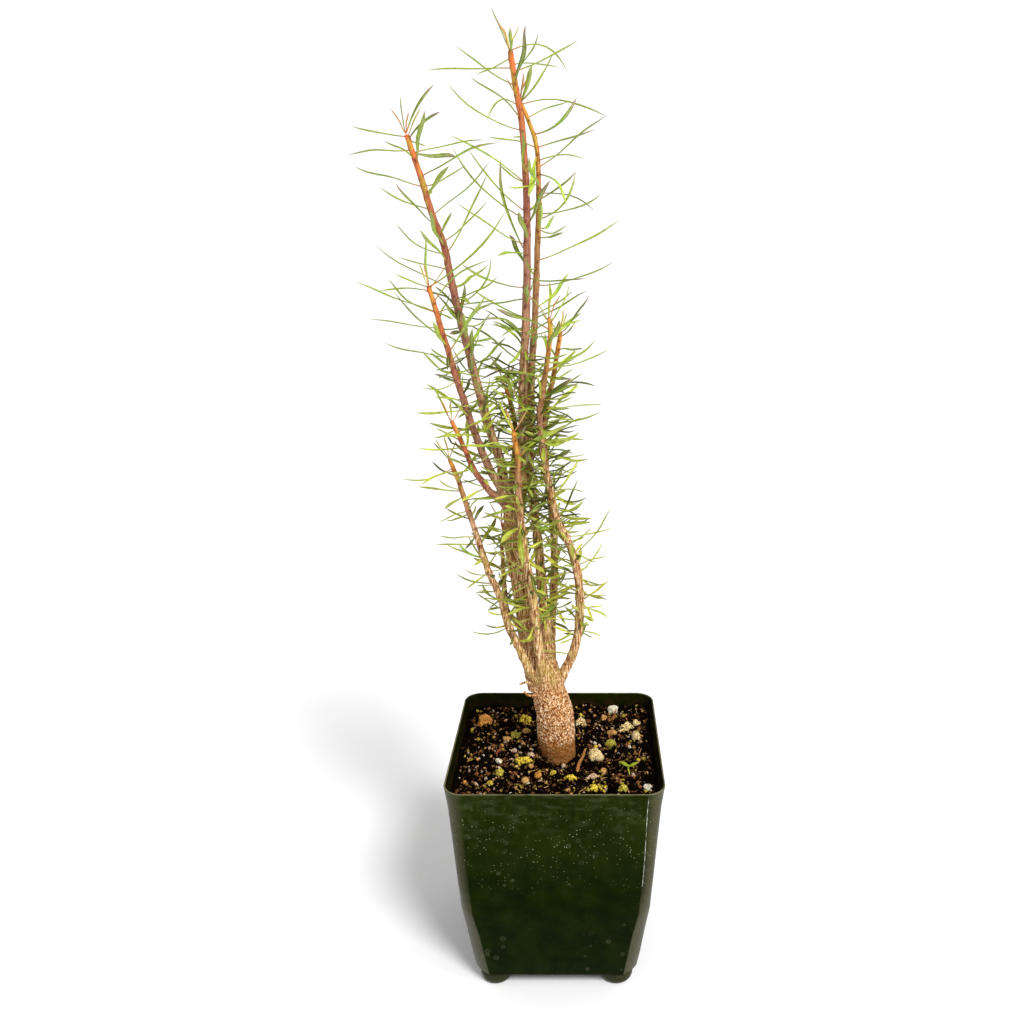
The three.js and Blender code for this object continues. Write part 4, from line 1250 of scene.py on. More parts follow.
        # The painted highlight line: the point where the front face meets the right corner, from its starting
        # height upward.
        scuff = np.zeros(rings.shape[:2])
        edge = -self.side_points - self.corner_points + 2
        scuff[:len(outer), edge] = np.clip((outside - self.scuff_from) / self.scuff_fade, 0, 1)
        return rings, {"inside": np.repeat(within, rings.shape[1]), "corner": corner, "scuff": scuff}

    @staticmethod
    def turned(profile: Sequence[tuple[float, float]], places: Array, sides: int) -> tuple[Array, Faces]:
        """A profile of radius and height turned about an upright axis at each place.

        Args:
            profile: Rows of radius and height, from the bottom up.
            places: Where the axes stand, one a row.
            sides: Points in a ring.

        Returns:
            The points and the faces.
        """
        radius, height = np.array(profile).T[..., None]
        turn = once_round(sides)
        solid = points_of(radius * np.cos(turn), radius * np.sin(turn), height)
        return solid + places[:, None, None, :], grid_faces(len(profile), sides, len(places))

    def build(self) -> None:
        """Builds the shell, cuts its drains out of the floor and adds the feet."""
        rings, traits = self.shell()
        faces = grid_faces(len(rings), rings.shape[1])
        shell = dress(linked("pot_shell", rings, faces), self.finish, "pot", traits, 24.0)
        sides = np.array([[1, 0, 0], [-1, 0, 0], [0, 1, 0], [0, -1, 0]])
        cutter = linked("drains", *self.turned(self.drain, sides * self.drain_place, 32))
        cut = shell.modifiers.new("drains", "BOOLEAN")
        cut.object = cutter
        cut.operation = "DIFFERENCE"
        cut.solver = "EXACT"
        baked(shell)
        bpy.data.objects.remove(cutter)
        corners = np.array([[1, 1, 0], [-1, 1, 0], [-1, -1, 0], [1, -1, 0]])
        points, faces = self.turned(self.foot, corners * self.foot_place, 40)
        traits = even(points.shape[:-1], inside=0, corner=0.5, scuff=0)
        dress(linked("pot_feet", points, faces), self.finish, "pot", traits, 50.0)


# Soil


class Grit(Enum):
    """Colours of what lies in the peat."""

    TAN = (0.70, 0.40, 0.13)
    ORANGE = (0.80, 0.36, 0.07)
    PINK = (0.86, 0.60, 0.44)
    WHITE = (0.95, 0.90, 0.76)
    CREAM = (0.88, 0.70, 0.36)
    YELLOW = (0.78, 0.60, 0.060)
    GREEN = (0.50, 0.44, 0.060)
    BROWN = (0.30, 0.110, 0.032)
    RED = (0.40, 0.110, 0.035)


class Form(Enum):
    """What a bigger grain in the soil is."""

    STONE = "stone"
    BEADS = "beads"
    PRILL = "prill"
    TWIG = "twig"


@dataclass(frozen=True)
class Grain:
    """A bigger grain in the soil: its place, its size, what it is and its colour."""

    x: float
    y: float
    size: Point
    form: Form
    color: Grit


SOIL_GRAINS: tuple[Grain, ...] = (
    Grain(-29.3, 20, (6.2, 6, 4), Form.STONE, Grit.ORANGE),
    Grain(-13.3, 22.9, (4.8, 5, 3), Form.BEADS, Grit.YELLOW),
    Grain(-12.3, 13.2, (2.6, 3, 2), Form.STONE, Grit.TAN),
    Grain(-16.2, 12.5, (4, 4.4, 1.6), Form.BEADS, Grit.GREEN),
    Grain(-19.2, 7, (3.8, 4, 2.8), Form.STONE, Grit.TAN),
    Grain(-24.1, 1.8, (3.4, 3.6, 2), Form.STONE, Grit.BROWN),
    Grain(-21.9, -2.6, (6.6, 1.8, 1.6), Form.TWIG, Grit.RED),
    Grain(-9.4, -4.6, (3, 3, 2.2), Form.STONE, Grit.PINK),
    Grain(-21.1, -7, (2.4, 2.6, 2), Form.STONE, Grit.WHITE),
    Grain(-12.2, -9, (6.4, 5.4, 2.6), Form.BEADS, Grit.YELLOW),
    Grain(-6.3, -17.3, (3, 3, 2.6), Form.PRILL, Grit.ORANGE),
    Grain(-10.8, -20.6, (3.2, 3.2, 2.6), Form.PRILL, Grit.TAN),
    Grain(-20, -16.6, (2.6, 3, 2), Form.BEADS, Grit.GREEN),
    Grain(-22.7, -23.9, (2.6, 3, 2.2), Form.STONE, Grit.YELLOW),
    Grain(-12.3, -25.2, (4.2, 1.6, 1.4), Form.TWIG, Grit.YELLOW),
    Grain(-0.9, -18, (2.2, 2.8, 2), Form.STONE, Grit.YELLOW),
    Grain(21.3, 30.5, (4.4, 4.6, 3.4), Form.STONE, Grit.WHITE),
    Grain(8.9, 20.5, (4.2, 4.4, 3), Form.BEADS, Grit.CREAM),
    Grain(18.1, 23.7, (2.8, 3, 2.4), Form.STONE, Grit.TAN),
    Grain(20.6, 13.2, (3.6, 4, 3), Form.STONE, Grit.TAN),
    Grain(19.7, 8.6, (3.8, 1.6, 1.4), Form.TWIG, Grit.RED),
    Grain(26.5, 14.8, (5.6, 5.4, 3.8), Form.BEADS, Grit.CREAM),
    Grain(30.5, 18.8, (3, 3.2, 2.6), Form.STONE, Grit.CREAM),
    Grain(30.2, 9.4, (3.8, 3.8, 3.4), Form.STONE, Grit.CREAM),
    Grain(19.9, 2.5, (4.2, 4.4, 3), Form.STONE, Grit.GREEN),
    Grain(14.8, -5.6, (5.6, 6.6, 4.6), Form.STONE, Grit.CREAM),
    Grain(17.3, -15.3, (2.6, 2.8, 2), Form.STONE, Grit.TAN),
    Grain(13.3, -18.4, (2.6, 2.8, 2), Form.STONE, Grit.PINK),
    Grain(5.2, -20.6, (4, 4.2, 2.4), Form.BEADS, Grit.YELLOW),
    Grain(14.3, -26.2, (5.2, 3.4, 2), Form.BEADS, Grit.YELLOW),
    Grain(23.7, -27.1, (3.2, 3, 2), Form.BEADS, Grit.GREEN),
    Grain(32.4, -26.4, (3.4, 3.6, 3), Form.STONE, Grit.WHITE),
)


@dataclass
class SoilMix:
    """Dark peat that fills the pot, with crumbs, specks, stones, prills, algae, fibres and bits of twig."""

    pot: NurseryPot
    peat: Peat
    mineral: Mineral
    top: float = 77.0
    wave: float = 0.7
    gap: float = 0.3
    trunk_place: tuple[float, float] = (0.9, -2.5)
    hole_radius: float = 6.0
    hole_floor: float = 62.0
    wall_levels: tuple[float, ...] = (60.0, 31.0, 8.0, 1.8)
    draw_in: float = 0.985
    small_ring: float = 0.02
    coarse_size: float = 2.6
    fine_size: float = 1.15
    trunk_clearance: float = 0.9
    reach: float = 35.2
    corner: float = 5.0
    around: int = 560
    surface_rings: int = 118
    crumb_count: int = 3000
    speck_count: int = 2300
    chip_count: int = 420
    bead_count: int = 90
    fibre_count: int = 150
    sticks: tuple[Run, ...] = (
        ((7.6, -14.6, 76, 0.62), (8.2, -13.4, 79, 0.6), (9.6, -12.4, 81.4, 0.5), (10.6, -11.8, 84.4, 0.3)),
        ((21.4, 22.3, 76.5, 0.42), (21.8, 22.1, 79.2, 0.4), (22.8, 22, 82.6, 0.24)),
        ((30.4, -5.6, 76.8, 0.22), (30.6, -5, 78.6, 0.2), (31.2, -4.4, 80.2, 0.12)),
    )
    seed: int = 411

    def level(self, x: Array, y: Array) -> Array:
        """The soil's height without its crumbs: its top plus a slow wave of sines."""
        slow = np.sin(0.31 * x + 1.1) * np.cos(0.27 * y - 0.4) + 0.6 * np.sin(0.53 * x - 0.47 * y)
        return self.top + self.wave * slow

    def rough_level(self, x: Array, y: Array) -> tuple[Array, Array, Array]:
        """The soil's height with its crumbs.

        Two sizes of domed grains and layered noise are added to the slow wave.

        Args:
            x: Places along X.
            y: Places along Y.

        Returns:
            The height, the height of the grain there from 0 to 1, and the grain's own number.
        """
        flat = np.stack([x, y, np.zeros_like(x)], axis=-1)
        bent = flat + 0.35 * np.stack([waves(flat, 1.1, 5), waves(flat, 1.1, 6), 0 * x], axis=-1)
        coarse, own = grains(bent, self.coarse_size, 21)
        small, _ = grains(bent, self.fine_size, 22)
        lift = 0.9 * coarse * lattice(np.floor(own * 1000)[..., None] * np.ones(3), 3) + 0.45 * small
        height = self.level(x, y) + lift + 0.5 * layered(flat, 5.0, 23) - 0.35
        return height, np.clip(0.25 + 0.5 * small + 0.3 * coarse, 0, 1), own

    def body(self) -> tuple[Array, Array, Array]:
        """The peat's skin, from the bottom of the trunk's hole to the middle of the pot's floor.

        Rays leave the trunk towards points evenly round the pot's wall. Along each, a share from 0 to 1 runs
        from the hole's wall to the pot's wall.

        Returns:
            The rings, and the grain's height and own number at each point.
        """
        inset = self.pot.wall + self.gap
        edge = self.pot.rings(np.array([self.top - 1.0]), np.array([inset]))[0][:, :2]
        edge = np.concatenate([edge, edge[:1]])
        walk = np.concatenate([[0], np.cumsum(np.linalg.norm(np.diff(edge, axis=0), axis=1))])
        places = np.linspace(0, walk[-1], self.around, endpoint=False)
        edge = np.stack([np.interp(places, walk, edge[:, axis]) for axis in range(2)], axis=-1)
        middle = np.array(self.trunk_place)
        start = middle + self.hole_radius * unit(edge - middle)
        share = np.linspace(0, 1, self.surface_rings)[:, None, None]
        flat = start * (1 - share) + edge * share
        height, dome, own = self.rough_level(flat[..., 0], flat[..., 1])
        surface = np.concatenate([flat, height[..., None]], axis=-1)
        hole = np.concatenate([start, np.full((len(start), 1), self.hole_floor)], axis=-1)
        pole = np.concatenate([middle + self.small_ring * (start - middle), hole[:, 2:]], axis=-1)
        levels = np.array(self.wall_levels)[:, None, None]
        walls = self.pot.rings(levels.ravel(), np.full(len(levels), inset))
        shrink = walls[..., :2].max(axis=(1, 2)) / edge.max()
        drawn_in = edge[None] * shrink[:, None, None] * self.draw_in
        sides = points_of(drawn_in[..., 0], drawn_in[..., 1], levels[..., 0])
        base = sides[-1:] * np.array([self.small_ring, self.small_ring, 1.0])
        rings = np.concatenate([pole[None], hole[None], surface, sides, base])
        pad = ((2, 5), (0, 0))
        return rings, np.pad(dome, pad), np.pad(own, pad)

    def scattered(self, count: int, rng: np.random.Generator, margin: float = 1.0) -> Array:
        """Random places on the soil, clear of the trunk.

        Args:
            count: How many.
            rng: Source of the draws.
            margin: Distance kept from the pot's wall.

        Returns:
            x and y, one place a row.
        """
        half = self.reach - margin
        flat = rng.uniform(-half, half, (count * 2, 2))
        corner = np.maximum(np.abs(flat) - (half - self.corner), 0)
        away = np.linalg.norm(flat - np.array(self.trunk_place), axis=1)
        clear = away > self.hole_radius + self.trunk_clearance
        return flat[clear & (np.linalg.norm(corner, axis=1) < self.corner)][:count]

    def seats(self, flat: Array, lift: Array) -> Array:
        """Places on the crumbly surface, raised by some millimetres."""
        height, _, _ = self.rough_level(flat[:, 0], flat[:, 1])
        return np.column_stack([flat, height + lift])

    def tinted(self, name: str, points: Array, faces: Faces, tints: Array) -> None:
        """Makes a piece of many grains in the mineral finish.

        Args:
            name: The piece's name.
            points: Places in millimetres, grain by grain.
            faces: The corners of each face.
            tints: One colour for each grain, or one for each point.
        """
        tints = np.repeat(tints, points.size // tints.size, axis=0)
        dress(linked(name, points, faces), self.mineral, "soil", {"tint": tints})

    def crumbs(self) -> None:
        """Loose crumbs of peat: thousands of rough lumps of a few dozen faces."""
        rng = np.random.default_rng(self.seed)
        flat = self.scattered(self.crumb_count, rng)
        size = 0.28 + 0.62 * rng.random(len(flat)) ** 2.5
        sizes = size[:, None] * rng.uniform(0.6, 1.25, (len(flat), 3))
        points, faces = lumps(self.seats(flat, size * 0.25), sizes, 5, 6, 0.45, self.seed)
        shape = points.shape[:-1]
        own = np.broadcast_to(rng.random(len(flat))[:, None, None], shape)
        traits = even(shape, height=0.75) | {"own": own}
        dress(linked("peat_crumbs", points, faces), self.peat, "soil", traits)

    def specks(self) -> None:
        """Small grains of sand, perlite and bark among the crumbs."""
        rng = np.random.default_rng(self.seed + 1)
        flat = self.scattered(self.speck_count, rng)
        size = 0.11 + 0.42 * rng.random(len(flat)) ** 3
        size[:self.chip_count] = rng.uniform(0.4, 0.85, self.chip_count)
        sizes = size[:, None] * rng.uniform(0.55, 1.3, (len(flat), 3))
        mix = {Grit.BROWN: 0.32, Grit.TAN: 0.26, Grit.PINK: 0.12, Grit.WHITE: 0.05, Grit.ORANGE: 0.07,
               Grit.YELLOW: 0.10, Grit.GREEN: 0.08}
        picks = rng.choice(len(mix), len(flat), p=list(mix.values()))
        shade = rng.uniform(0.25, 1.0, (len(flat), 1))
        points, faces = lumps(self.seats(flat, size * 0.4), sizes, 5, 6, 0.5, self.seed + 1)
        tints = np.array([kind.value for kind in mix])[picks] * shade
        self.tinted("soil_specks", points, faces, tints)

    def stones(self) -> None:
        """Stones and perlite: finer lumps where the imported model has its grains."""
        chosen = [g for g in SOIL_GRAINS if g.form in (Form.STONE, Form.PRILL)]
        places = np.array([[g.x, g.y, 0] for g in chosen], dtype=float)
        sizes = np.array([g.size for g in chosen]) / 2 * np.array([0.92, 0.92, 1.15])
        places[:, 2] = self.level(places[:, 0], places[:, 1]) + 0.35 * sizes[:, 2]
        rows, columns = 15, 20
        points, faces = lumps(places, sizes, rows, columns, 0.42, self.seed + 2)
        middle = places[:, None, None, :]
        smooth = np.array([g.form is Form.PRILL for g in chosen])[:, None, None, None]
        ball = middle + unit(points - middle) * sizes.min(axis=1)[:, None, None, None]
        points = np.where(smooth, ball, points)
        tints = np.repeat(np.array([g.color.value for g in chosen]), rows * columns, axis=0)
        blotch = 0.85 + 0.25 * waves(points.reshape(-1, 3), 1.3, 9)
        self.tinted("soil_stones", points, faces, tints * blotch[:, None])

    def algae(self) -> None:
        """Crusts of algae: heaps of small beads."""
        rng = np.random.default_rng(self.seed + 3)
        heaps = [g for g in SOIL_GRAINS if g.form is Form.BEADS]
        spread = rng.normal(size=(len(heaps), self.bead_count, 2)) * 0.42
        reach = np.linalg.norm(spread, axis=-1)
        half = np.array([[g.size[0] / 2, g.size[1] / 2] for g in heaps])[:, None]
        flat = np.array([[g.x, g.y] for g in heaps])[:, None] + spread * half * 1.15
        tall = np.array([g.size[2] for g in heaps])[:, None]
        lift = np.clip(1 - reach**2, 0, 1) * tall * rng.uniform(0.35, 0.8, reach.shape)
        places = self.seats(flat.reshape(-1, 2), lift.ravel() - 0.1)
        size = rng.uniform(0.28, 0.62, len(places))
        points, faces = lumps(places, size[:, None] * np.ones(3), 5, 6, 0.25, self.seed + 3)
        tints = np.repeat(np.array([g.color.value for g in heaps]), self.bead_count, axis=0)
        self.tinted("soil_algae", points, faces, tints * rng.uniform(0.6, 1.35, (len(places), 1)))

    def fibres(self) -> None:
        """Fine root fibres and bits of twig, lying on the soil: thin bent tubes."""
        rng = np.random.default_rng(self.seed + 4)
        twigs = [g for g in SOIL_GRAINS if g.form is Form.TWIG]
        flat = np.concatenate([[[g.x, g.y] for g in twigs], self.scattered(self.fibre_count, rng, 3.0)])
        count, fine = len(flat), len(flat) - len(twigs)
        length = np.concatenate([[g.size[0] for g in twigs], rng.uniform(1.2, 5.0, fine)])
        girth = np.concatenate([[g.size[1] / 4 for g in twigs], rng.uniform(0.05, 0.16, fine)])
        turn = rng.uniform(0, 2 * np.pi, count)
        heading = np.stack([np.cos(turn), np.sin(turn)], axis=-1)
        aside = np.stack([-heading[:, 1], heading[:, 0]], axis=-1)
        taper = np.array([0.35, 0.8, 1.0, 1.0, 0.95, 0.75, 0.3])
        rows, sides = len(taper), 6
        share = np.linspace(-0.5, 0.5, rows)
        bend = rng.uniform(-0.35, 0.35, count)
        run = flat[:, None] + length[:, None, None] * (
            heading[:, None] * share[None, :, None]
            + aside[:, None] * (bend[:, None] * (share[None] ** 2) * 4)[..., None])
        seats = self.seats(run.reshape(-1, 2), np.repeat(girth, rows)).reshape(count, rows, 3)
        seats[..., 2] = seats[..., 2].mean(axis=1, keepdims=True) + 0.25
        across = np.concatenate([aside, np.zeros((count, 1))], axis=-1)[:, None, None]
        up = np.array([0, 0, 1.0])
        ring = once_round(sides)[None, None, :, None]
        out = across * np.cos(ring) + up * np.sin(ring)
        points = seats[:, :, None] + (girth[:, None] * taper)[..., None, None] * out
        browns = (Grit.BROWN, Grit.TAN, Grit.RED)
        kinds = [g.color.value for g in twigs] + [browns[k].value for k in rng.choice(3, fine)]
        tints = np.array(kinds) * rng.uniform(0.35, 1.0, (count, 1))
        self.tinted("soil_fibres", points, grid_faces(rows, sides, count), tints)

    def litter(self) -> None:
        """Bits of twig that stand up in the peat: tapered tubes."""
        rows, sides = 14, 8
        rings = np.stack([tube_through(stick, sides, rows) for stick in self.sticks])
        rings = rings + 0.06 * waves(rings, 0.7, 31)[..., None]
        tint = np.array([Grit.RED.value]) * 0.5 + np.array([Grit.TAN.value]) * 0.4
        self.tinted("soil_litter", rings, grid_faces(rows, sides, len(rings)), tint)

    def build(self) -> None:
        """Builds the peat and all that lies on it."""
        rings, dome, own = self.body()
        faces = grid_faces(len(rings), rings.shape[1])
        dress(linked("peat", rings, faces), self.peat, "soil", {"height": dome, "own": own})
        self.crumbs()
        self.specks()
        self.stones()
        self.algae()
        self.fibres()
        self.litter()


# Where the leaves go: the same rule, in the same order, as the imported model's


class Draws:
    """Seeded draws from 0 to 1: each state is the last times the factor, modulo the prime."""

    factor: int = 48271
    prime: int = 2147483647

    def __init__(self, seed: int) -> None:
        """Starts at a seed."""
        self.state = seed

    def __call__(self) -> float:
        """The next draw."""
        self.state = self.state * self.factor % self.prime
        return self.state / self.prime


class Round(Enum):
    """The rounds in which leaves are placed."""

    SEEN = "seen one by one"
    YOUNG = "young, round a tip"
    RULED = "by the rule"
    FILLING = "finer, between the others"


@dataclass(frozen=True)
class Leaf:
    """A leaf's middle line, a quadratic curve with two equal legs, and its width, turn and round."""

    root: Array
    bend: Array
    tip: Array
    turn: float
    curl: float
    width: float
    round: Round

    @classmethod
    def grown(cls, root: Array, row: LeafRow, bend: Point, of: Round) -> "Leaf":
        """A leaf from its root: each leg is half the length over the cosine of half the curl.

        Args:
            root: The middle of the stem there.
            row: The leaf's height, turn, rise, length, curl and width.
            bend: What is added to the turn and the rise, and what the length is multiplied by.
            of: The leaf's round.

        Returns:
            The leaf.
        """
        _, turn, rise, length, curl, width = row
        turn, rise, length = turn + bend[0], rise + bend[1], length * bend[2]
        leg = length / (2 * math.cos(math.radians(curl) / 2))

        def heading(slope: float) -> Array:
            """The direction at a slope."""
            level, way = math.radians(slope), math.radians(turn)
            flat = math.cos(level)
            return np.array([flat * math.cos(way), flat * math.sin(way), math.sin(level)])

        knee = root + heading(rise - curl / 2) * leg
        return cls(root, knee, knee + heading(rise + curl / 2) * leg, turn, curl, width, of)

    def at(self, share: Array) -> Array:
        """Points on the middle line: (1-t)2 root + 2t(1-t) bend + t2 tip."""
        t = np.asarray(share)[:, None]
        return (1 - t) ** 2 * self.root + 2 * t * (1 - t) * self.bend + t * t * self.tip


class Bars:
    """Straight stretches with a reach, against which new ones are tested."""

    clearance: float = 0.25

    def __init__(self) -> None:
        """Starts empty."""
        self.starts, self.ends = np.zeros((0, 3)), np.zeros((0, 3))
        self.reaches, self.owners = np.zeros(0), np.zeros(0, dtype=int)

    def add(self, path: Array, reach: Array | float, owner: int) -> None:
        """Adds a chain of stretches.

        Args:
            path: The points of the chain.
            reach: The reach of each stretch.
            owner: The number of the stem that it belongs to, or -1.
        """
        count = len(path) - 1
        self.starts = np.vstack([self.starts, path[:-1]])
        self.ends = np.vstack([self.ends, path[1:]])
        self.reaches = np.concatenate([self.reaches, np.broadcast_to(reach, count)])
        self.owners = np.concatenate([self.owners, np.full(count, owner)])

    def touched(self, path: Array, reach: float, owner: int) -> bool:
        """Whether a chain comes too near a stretch of another owner.

        The least distance of two stretches comes from the usual two equations for the nearest points of two
        lines, with both shares held between 0 and 1.

        Args:
            path: The points of the chain.
            reach: What it keeps clear round itself.
            owner: Stretches of this owner don't count.

        Returns:
            True where it touches.
        """
        other = self.owners != owner
        start, end, far = self.starts[other], self.ends[other], self.reaches[other]
        p, u = path[:-1, None], (path[1:] - path[:-1])[:, None]
        v, w = (end - start)[None], p - start[None]
        a, b, c = (u * u).sum(-1), (u * v).sum(-1), (v * v).sum(-1)
        d, e = (u * w).sum(-1), (v * w).sum(-1)
        spread = a * c - b * b
        s = np.where(spread > TINY, np.clip((b * e - c * d) / np.maximum(spread, TINY), 0, 1), 0)
        t = np.clip((b * s + e) / c, 0, 1)
        s = np.clip((b * t - d) / a, 0, 1)
        away = np.linalg.norm(w + u * s[..., None] - v * t[..., None], axis=-1)
        return bool((away <= reach + far[None] + self.clearance).any())


# What is tried on a leaf in turn: degrees added to its turn and to its rise, and a factor of its length

BENDS: tuple[tuple[float, float, float], ...] = (
    (0, 0, 1), (8, 0, 1), (-8, 0, 1), (0, 9, 1), (0, -9, 1), (16, 6, 1), (-16, 6, 1), (16, -8, 0.95),
    (-16, -8, 0.95), (26, 0, 0.9), (-26, 0, 0.9), (0, 20, 0.9), (0, -20, 0.9), (38, 10, 0.85),
    (-38, 10, 0.85), (52, 0, 0.8), (-52, 0, 0.8), (20, 30, 0.75), (-20, 30, 0.75), (75, 10, 0.7),
    (-75, 10, 0.7), (100, 15, 0.65), (-100, 15, 0.65), (140, 20, 0.6), (180, 25, 0.55), (0, 45, 0.5),
)


@dataclass
class Placing:
    """Gives every stem its leaves: the seen ones, the young ones, those of the rule, and the filling ones."""

    plans: tuple[StemPlan, ...]
    seed: int = 20417
    spacing: float = 3.2
    sideways: float = 0.55
    near_height: float = 1.6
    near_turn: float = 0.64
    curled: float = 28.0
    samples: int = 200
    every: int = 8
    bars: Bars = field(default_factory=Bars)
    paths: list[Array] = field(default_factory=list)
    leaves: list[list[Leaf]] = field(default_factory=list)

    def prepare(self, wood: Sequence[Sequence[tuple[float, ...]]]) -> None:
        """Traces the stems and lists what the leaves keep clear of.

        Args:
            wood: Lines of the trunk, limb and twigs with a radius in the fourth place.
        """
        for row in wood:
            line = np.array(row, dtype=float)
            self.bars.add(line[:, :3], line[:-1, 3], -1)
        for number, plan in enumerate(self.plans):
            path = smooth_line(plan.line, np.linspace(0, 1, self.samples + 1))
            self.paths.append(path)
            self.leaves.append([])
            radii = np.linspace(*plan.radius, self.samples + 1)
            self.bars.add(path[::self.every], radii[:-1:self.every], number)
            self.bars.add(np.array([*plan.collar, plan.line[0]], dtype=float), plan.radius[0] * 1.25, -1)

    def root(self, number: int, z: float) -> Array:
        """The stem's middle at a height."""
        path = self.paths[number]
        above = int(np.argmax(path[:, 2] >= z)) if path[:, 2].max() >= z else -1
        if above <= 0:
            return path[above]
        low, high = path[above - 1], path[above]
        return low + (high - low) * (z - low[2]) / (high[2] - low[2])

    def seen(self, number: int) -> list[LeafRow]:
        """The leaves that are known one by one."""
        return list(self.plans[number].seen)

    def young(self, number: int) -> list[LeafRow]:
        """Three young leaves that stand up round the tip."""
        top = self.plans[number].line[-1][2]
        return [(top - 0.6 * k, number * 40 + 120 * k, 66 - 8 * k, 7 + 2 * k, -10, 1.2) for k in range(3)]

    def ruled(self, number: int) -> list[LeafRow]:
        """Leaves a golden turn apart, from short and level at the foot to long at the tip."""
        plan, draw = self.plans[number], Draws(self.seed + 97 * number)
        low, high = plan.bare, plan.line[-1][2]
        seen_low = min([row[0] for row in plan.seen] + [high]) - 2
        rows: list[LeafRow] = []
        k = 0
        while low + k * self.spacing < high - 1:
            z = low + (k + 0.5 * draw()) * self.spacing
            part = (z - low) / (high - low)
            turn = (number * 61 + k * GOLDEN_TURN) % 360
            rise = -8 + 40 * draw() + 8 * part
            curl = -25 + 65 * draw()
            length = (plan.leaves[0] * (1 - part) + plan.leaves[1] * part) * (0.8 + 0.35 * draw())
            width = 1.35 + 0.65 * draw()
            if plan.traced:
                beside = z > seen_low and abs(math.cos(math.radians(turn))) > self.sideways
            else:
                beside = any(
                    abs(z - row[0]) < self.near_height
                    and math.cos(math.radians(turn - row[1])) > self.near_turn
                    for row in plan.seen)
            if z < high and not beside:
                rows.append((z, turn, rise, length, curl, width))
            k += 1
        return rows

    def filling(self, number: int) -> list[LeafRow]:
        """The low leaves, then finer ones between the others, which only this dressed plant has."""
        plan = self.plans[number]
        rng = np.random.default_rng(self.seed + 11 * number)
        low, high, spacing = plan.filled
        rows = list(plan.low)
        for k in range(int((high - low) / spacing)):
            z = low + (k + rng.uniform(0, 0.8)) * spacing
            part = np.clip((z - plan.bare) / (plan.line[-1][2] - plan.bare), 0, 1)
            turn = (number * 23 + 60 + k * GOLDEN_TURN) % 360
            length = (plan.leaves[0] * (1 - part) + plan.leaves[1] * part) * rng.uniform(0.45, 0.95)
            rows.append((min(z, high), turn, rng.uniform(-30, 48), length, rng.uniform(-55, 60),
                         rng.uniform(0.9, 1.7)))
        return rows

    def place(self) -> None:
        """Places the leaves, round by round, each bent clear of other stems and their leaves."""
        rounds = {Round.SEEN: self.seen, Round.YOUNG: self.young, Round.RULED: self.ruled,
                  Round.FILLING: self.filling}
        for of, rows_of in rounds.items():
            for number in range(len(self.plans)):
                for row in rows_of(number):
                    self.grow(number, row, of)

    def grow(self, number: int, row: LeafRow, of: Round) -> None:
        """Adds one leaf in the first bend that is clear, if there is one.

        Later leaves keep clear of it, unless it is a filling one.

        Args:
            number: The stem's number.
            row: The leaf.
            of: Its round.
        """
        root = self.root(number, row[0])
        for bend in BENDS:
            leaf = Leaf.grown(root, row, bend, of)
            stations = [0, 0.36, 0.7, 1] if abs(leaf.curl) > self.curled else [0, 0.5, 1]
            path = leaf.at(np.array(stations, dtype=float))
            if not self.bars.touched(path, leaf.width / 2, number):
                self.leaves[number].append(leaf)
                if of is not Round.FILLING:
                    self.bars.add(path, leaf.width / 2, number)
                return


# Plant


